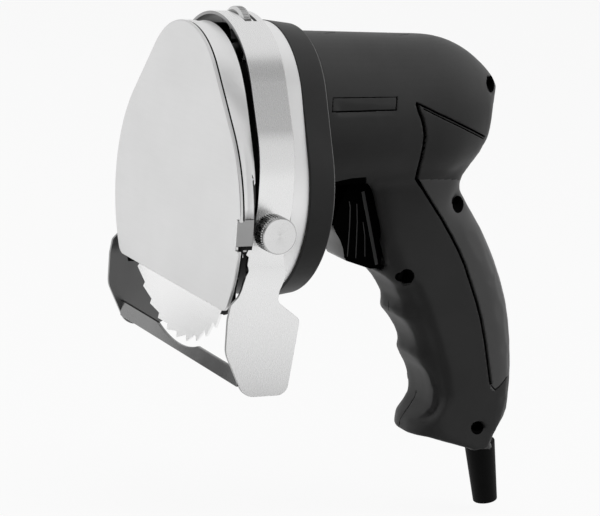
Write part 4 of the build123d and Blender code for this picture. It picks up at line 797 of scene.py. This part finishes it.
places = np.array([v.co for v in build.verts])
gap = np.full(len(places), 1e9)
for line, half_width, depth in seams:
    gap = np.minimum(gap, distance_to_line(line, places) - half_width)
close = (gap < 0.95 * MM) | ((np.abs(painted_shade_places(places)) < 2.4) & (np.abs(places[:, 0]) > 8 * MM))
cut = [e for e in build.edges if close[e.verts[0].index] and close[e.verts[1].index]]
bmesh.ops.subdivide_edges(build, edges=cut, cuts=3, use_grid_fill=True)
build.normal_update()
places = np.array([v.co for v in build.verts])
normals = np.array([v.normal for v in build.verts])
near, press = gaps(places)
for side in (1, -1):
    gap = distance_to_line(hollow * np.array((side, 1, 1)), places)
    press += HOLLOW_DEPTH * MM * ease(1 - gap / (HOLLOW_REACH * MM)) * (normals[:, 0] * side > 0.2)
places -= normals * press[:, None]
middles = np.array([f.calc_center_median() for f in build.faces])
near, press = gaps(middles)
# Painted shade: faces in the grooves and lines, the trigger's pocket and the screw holes are painted black
dark = near < 0.95
dark |= painted_shade_places(middles) < 0
u, v = in_picture(middles)
side_line = sorted((v, u) for u, v in PANEL_SIDE[8:])
foot_line = PANEL_FOOT[1:] + ((530.0, 352.0),)
lowest = PANEL_FOOT[1][1] + 0.9
# The panel of the grip takes the painted light
panel = (u > np.interp(v, *zip(*side_line))) & (v > PANEL_SIDE[8][1]) & (v < lowest)
panel &= v < np.where(u > 495, np.interp(u, *zip(*foot_line)), lowest)
marks = np.where(dark, 1, np.where(panel, 2, 0))
for face, mark in zip(build.faces, marks):
    face.material_index = int(mark)
for vert, place in zip(build.verts, places):
    vert.co = place
fine = bpy.data.meshes.new("fine_body")
build.to_mesh(fine)
build.free()
bpy.data.objects.remove(body)

for node, name, direction in (("left_housing", "left_shell", 1), ("right_housing", "right_shell", -1)):
    half = bmesh.new()
    half.from_mesh(fine)
    bmesh.ops.bisect_plane(
        half, geom=half.verts[:] + half.edges[:] + half.faces[:], plane_co=(0, 0, 0), plane_no=(-direction, 0, 0),
        clear_outer=True,
    )
    piece = new_piece(name, half)
    piece.data.polygons.foreach_set("use_smooth", [True] * len(piece.data.polygons))
    marks = np.empty(len(piece.data.polygons), np.int32)
    piece.data.polygons.foreach_get("material_index", marks)
    finish_piece(piece, "motor_unit", "housing_plastic", body_plastic, node)
    piece.data.materials.append(painted_shade_plastic)
    piece.data.materials.append(painted_light_panel)
    piece.data.polygons.foreach_set("material_index", marks)
bpy.data.meshes.remove(fine)

# Camera
camera = bpy.data.objects.new("camera", bpy.data.cameras.new("camera"))
camera.data.lens = CAMERA_LENS
camera.data.sensor_width = SENSOR_WIDTH
camera.data.clip_end = 50.0
axes = Matrix((across, above, back)).transposed().to_4x4()
camera.matrix_world = Matrix.Translation(CAMERA_PLACE) @ axes
scene.collection.objects.link(camera)
scene.camera = camera

# Floor just below the sleeve: pale to the camera and in reflections, with the object's shadow, darker as a light
floor_build = bmesh.new()
floor_z = cad_low.z - 0.004
corners = [floor_build.verts.new((a * 9.0, b * 9.0, floor_z)) for a, b in ((-1, -1), (1, -1), (1, 1), (-1, 1))]
floor_build.faces.new(corners)
floor = new_piece("floor", floor_build)
material = bpy.data.materials.new("floor_white")
material.use_nodes = True
tree = material.node_tree
shader = tree.nodes["Principled BSDF"]
shader.inputs["Roughness"].default_value = 0.9
shader.inputs["Specular IOR Level"].default_value = 0.1
glow = tree.nodes.new("ShaderNodeEmission")
glow.inputs["Strength"].default_value = 1.0
path = tree.nodes.new("ShaderNodeLightPath")
seen = tree.nodes.new("ShaderNodeMath")
seen.operation = "MAXIMUM"
share = tree.nodes.new("ShaderNodeMath")
share.operation = "MULTIPLY"
share.inputs[1].default_value = 0.93
mix = tree.nodes.new("ShaderNodeMixShader")
tree.links.new(path.outputs["Is Camera Ray"], seen.inputs[0])
tree.links.new(path.outputs["Is Glossy Ray"], seen.inputs[1])
tree.links.new(seen.outputs["Value"], share.inputs[0])
pale = tree.nodes.new("ShaderNodeMix")
pale.data_type = "RGBA"
pale.inputs["A"].default_value = (0.3, 0.3, 0.3, 1)
pale.inputs["B"].default_value = (0.8, 0.8, 0.8, 1)
tree.links.new(seen.outputs["Value"], pale.inputs["Factor"])
tree.links.new(pale.outputs["Result"], shader.inputs["Base Color"])
tree.links.new(share.outputs["Value"], mix.inputs["Fac"])
tree.links.new(shader.outputs["BSDF"], mix.inputs[1])
tree.links.new(glow.outputs["Emission"], mix.inputs[2])
tree.links.new(mix.outputs["Shader"], tree.nodes["Material Output"].inputs["Surface"])
floor.data.materials.append(material)

# World: white to the camera and in reflections, a softer grey as light on the object
world = bpy.data.worlds.new("studio")
scene.world = world
world.use_nodes = True
tree = world.node_tree
plain = tree.nodes["Background"]
plain.inputs["Color"].default_value = (1, 1, 1, 1)
plain.inputs["Strength"].default_value = 0.04
white = tree.nodes.new("ShaderNodeBackground")
white.inputs["Strength"].default_value = 1.0
path = tree.nodes.new("ShaderNodeLightPath")
first = tree.nodes.new("ShaderNodeMath")
first.operation = "MAXIMUM"
second = tree.nodes.new("ShaderNodeMath")
second.operation = "MAXIMUM"
mix = tree.nodes.new("ShaderNodeMixShader")
tree.links.new(path.outputs["Is Camera Ray"], first.inputs[0])
tree.links.new(path.outputs["Is Glossy Ray"], first.inputs[1])
tree.links.new(first.outputs["Value"], second.inputs[0])
tree.links.new(path.outputs["Is Transmission Ray"], second.inputs[1])
tree.links.new(second.outputs["Value"], mix.inputs["Fac"])
tree.links.new(plain.outputs["Background"], mix.inputs[1])
tree.links.new(white.outputs["Background"], mix.inputs[2])
tree.links.new(mix.outputs["Shader"], tree.nodes["World Output"].inputs["Surface"])


def soft_lamp(name, place, aim, size, power):
    """A large soft lamp that points at a place."""
    lamp = bpy.data.objects.new(name, bpy.data.lights.new(name, "AREA"))
    lamp.data.shape = "RECTANGLE"
    lamp.data.size, lamp.data.size_y = size
    lamp.data.energy = power
    lamp.location = place
    lamp.rotation_mode = "QUATERNION"
    lamp.rotation_quaternion = (Vector(aim) - Vector(place)).to_track_quat("-Z", "Y")
    lamp.visible_glossy = False
    scene.collection.objects.link(lamp)


middle = (cad_low + cad_high) / 2
soft_lamp("front_lamp", (-1.1, -1.2, 0.3), middle, (0.9, 1.2), 15.5)
soft_lamp("rear_lamp", (0.6, 1.2, 0.9), middle, (0.9, 1.2), 6.2)
soft_lamp("top_lamp", (0.3, 0.1, 1.5), middle, (1.0, 1.0), 8.5)


def dark_card(name, place, aim, size, tone, turn_by=0.0):
    """A board of one tone beside the set that shows only in reflections, turned about its own normal."""
    card_build = bmesh.new()
    for a, b in ((-1, -1), (1, -1), (1, 1), (-1, 1)):
        corner = Vector((a * size[0] / 2, b * size[1] / 2, 0))
        card_build.verts.new(Matrix.Rotation(math.radians(turn_by), 3, "Z") @ corner)
    card_build.faces.new(card_build.verts)
    card = new_piece(name, card_build)
    card.rotation_mode = "QUATERNION"
    card.location = place
    card.rotation_quaternion = (Vector(aim) - Vector(place)).to_track_quat("Z", "Y")
    board = bpy.data.materials.new(name)
    board.use_nodes = True
    tone_node = board.node_tree.nodes.new("ShaderNodeEmission")
    tone_node.inputs["Color"].default_value = (tone, tone, tone, 1)
    output = board.node_tree.nodes["Material Output"]
    board.node_tree.links.new(tone_node.outputs["Emission"], output.inputs["Surface"])
    card.data.materials.append(board)
    card.visible_camera = False
    card.visible_diffuse = False
    card.visible_shadow = False
    card.visible_transmission = False


away = Vector(CAMERA_PLACE) - middle
floor_card = floor_z + 0.002
dark_card("camera_card", middle + away * 1.7, middle, (1.5, 1.2), 0.02)
dark_card("side_card", middle + Vector((0.53, 0.44, 0.73)) * 1.8, middle, (1.2, 0.90), 0.36)
dark_card("foot_card", (0.22, 0.094, floor_card), (0.22, 0.094, 1.0), (0.15, 0.16), 0.02, 26.7)
dark_card("bar_card", (-0.272, -0.145, floor_card), (-0.272, -0.145, 1.0), (0.22, 0.034), 0.01, 25.0)

scene.view_settings.view_transform = "Standard"
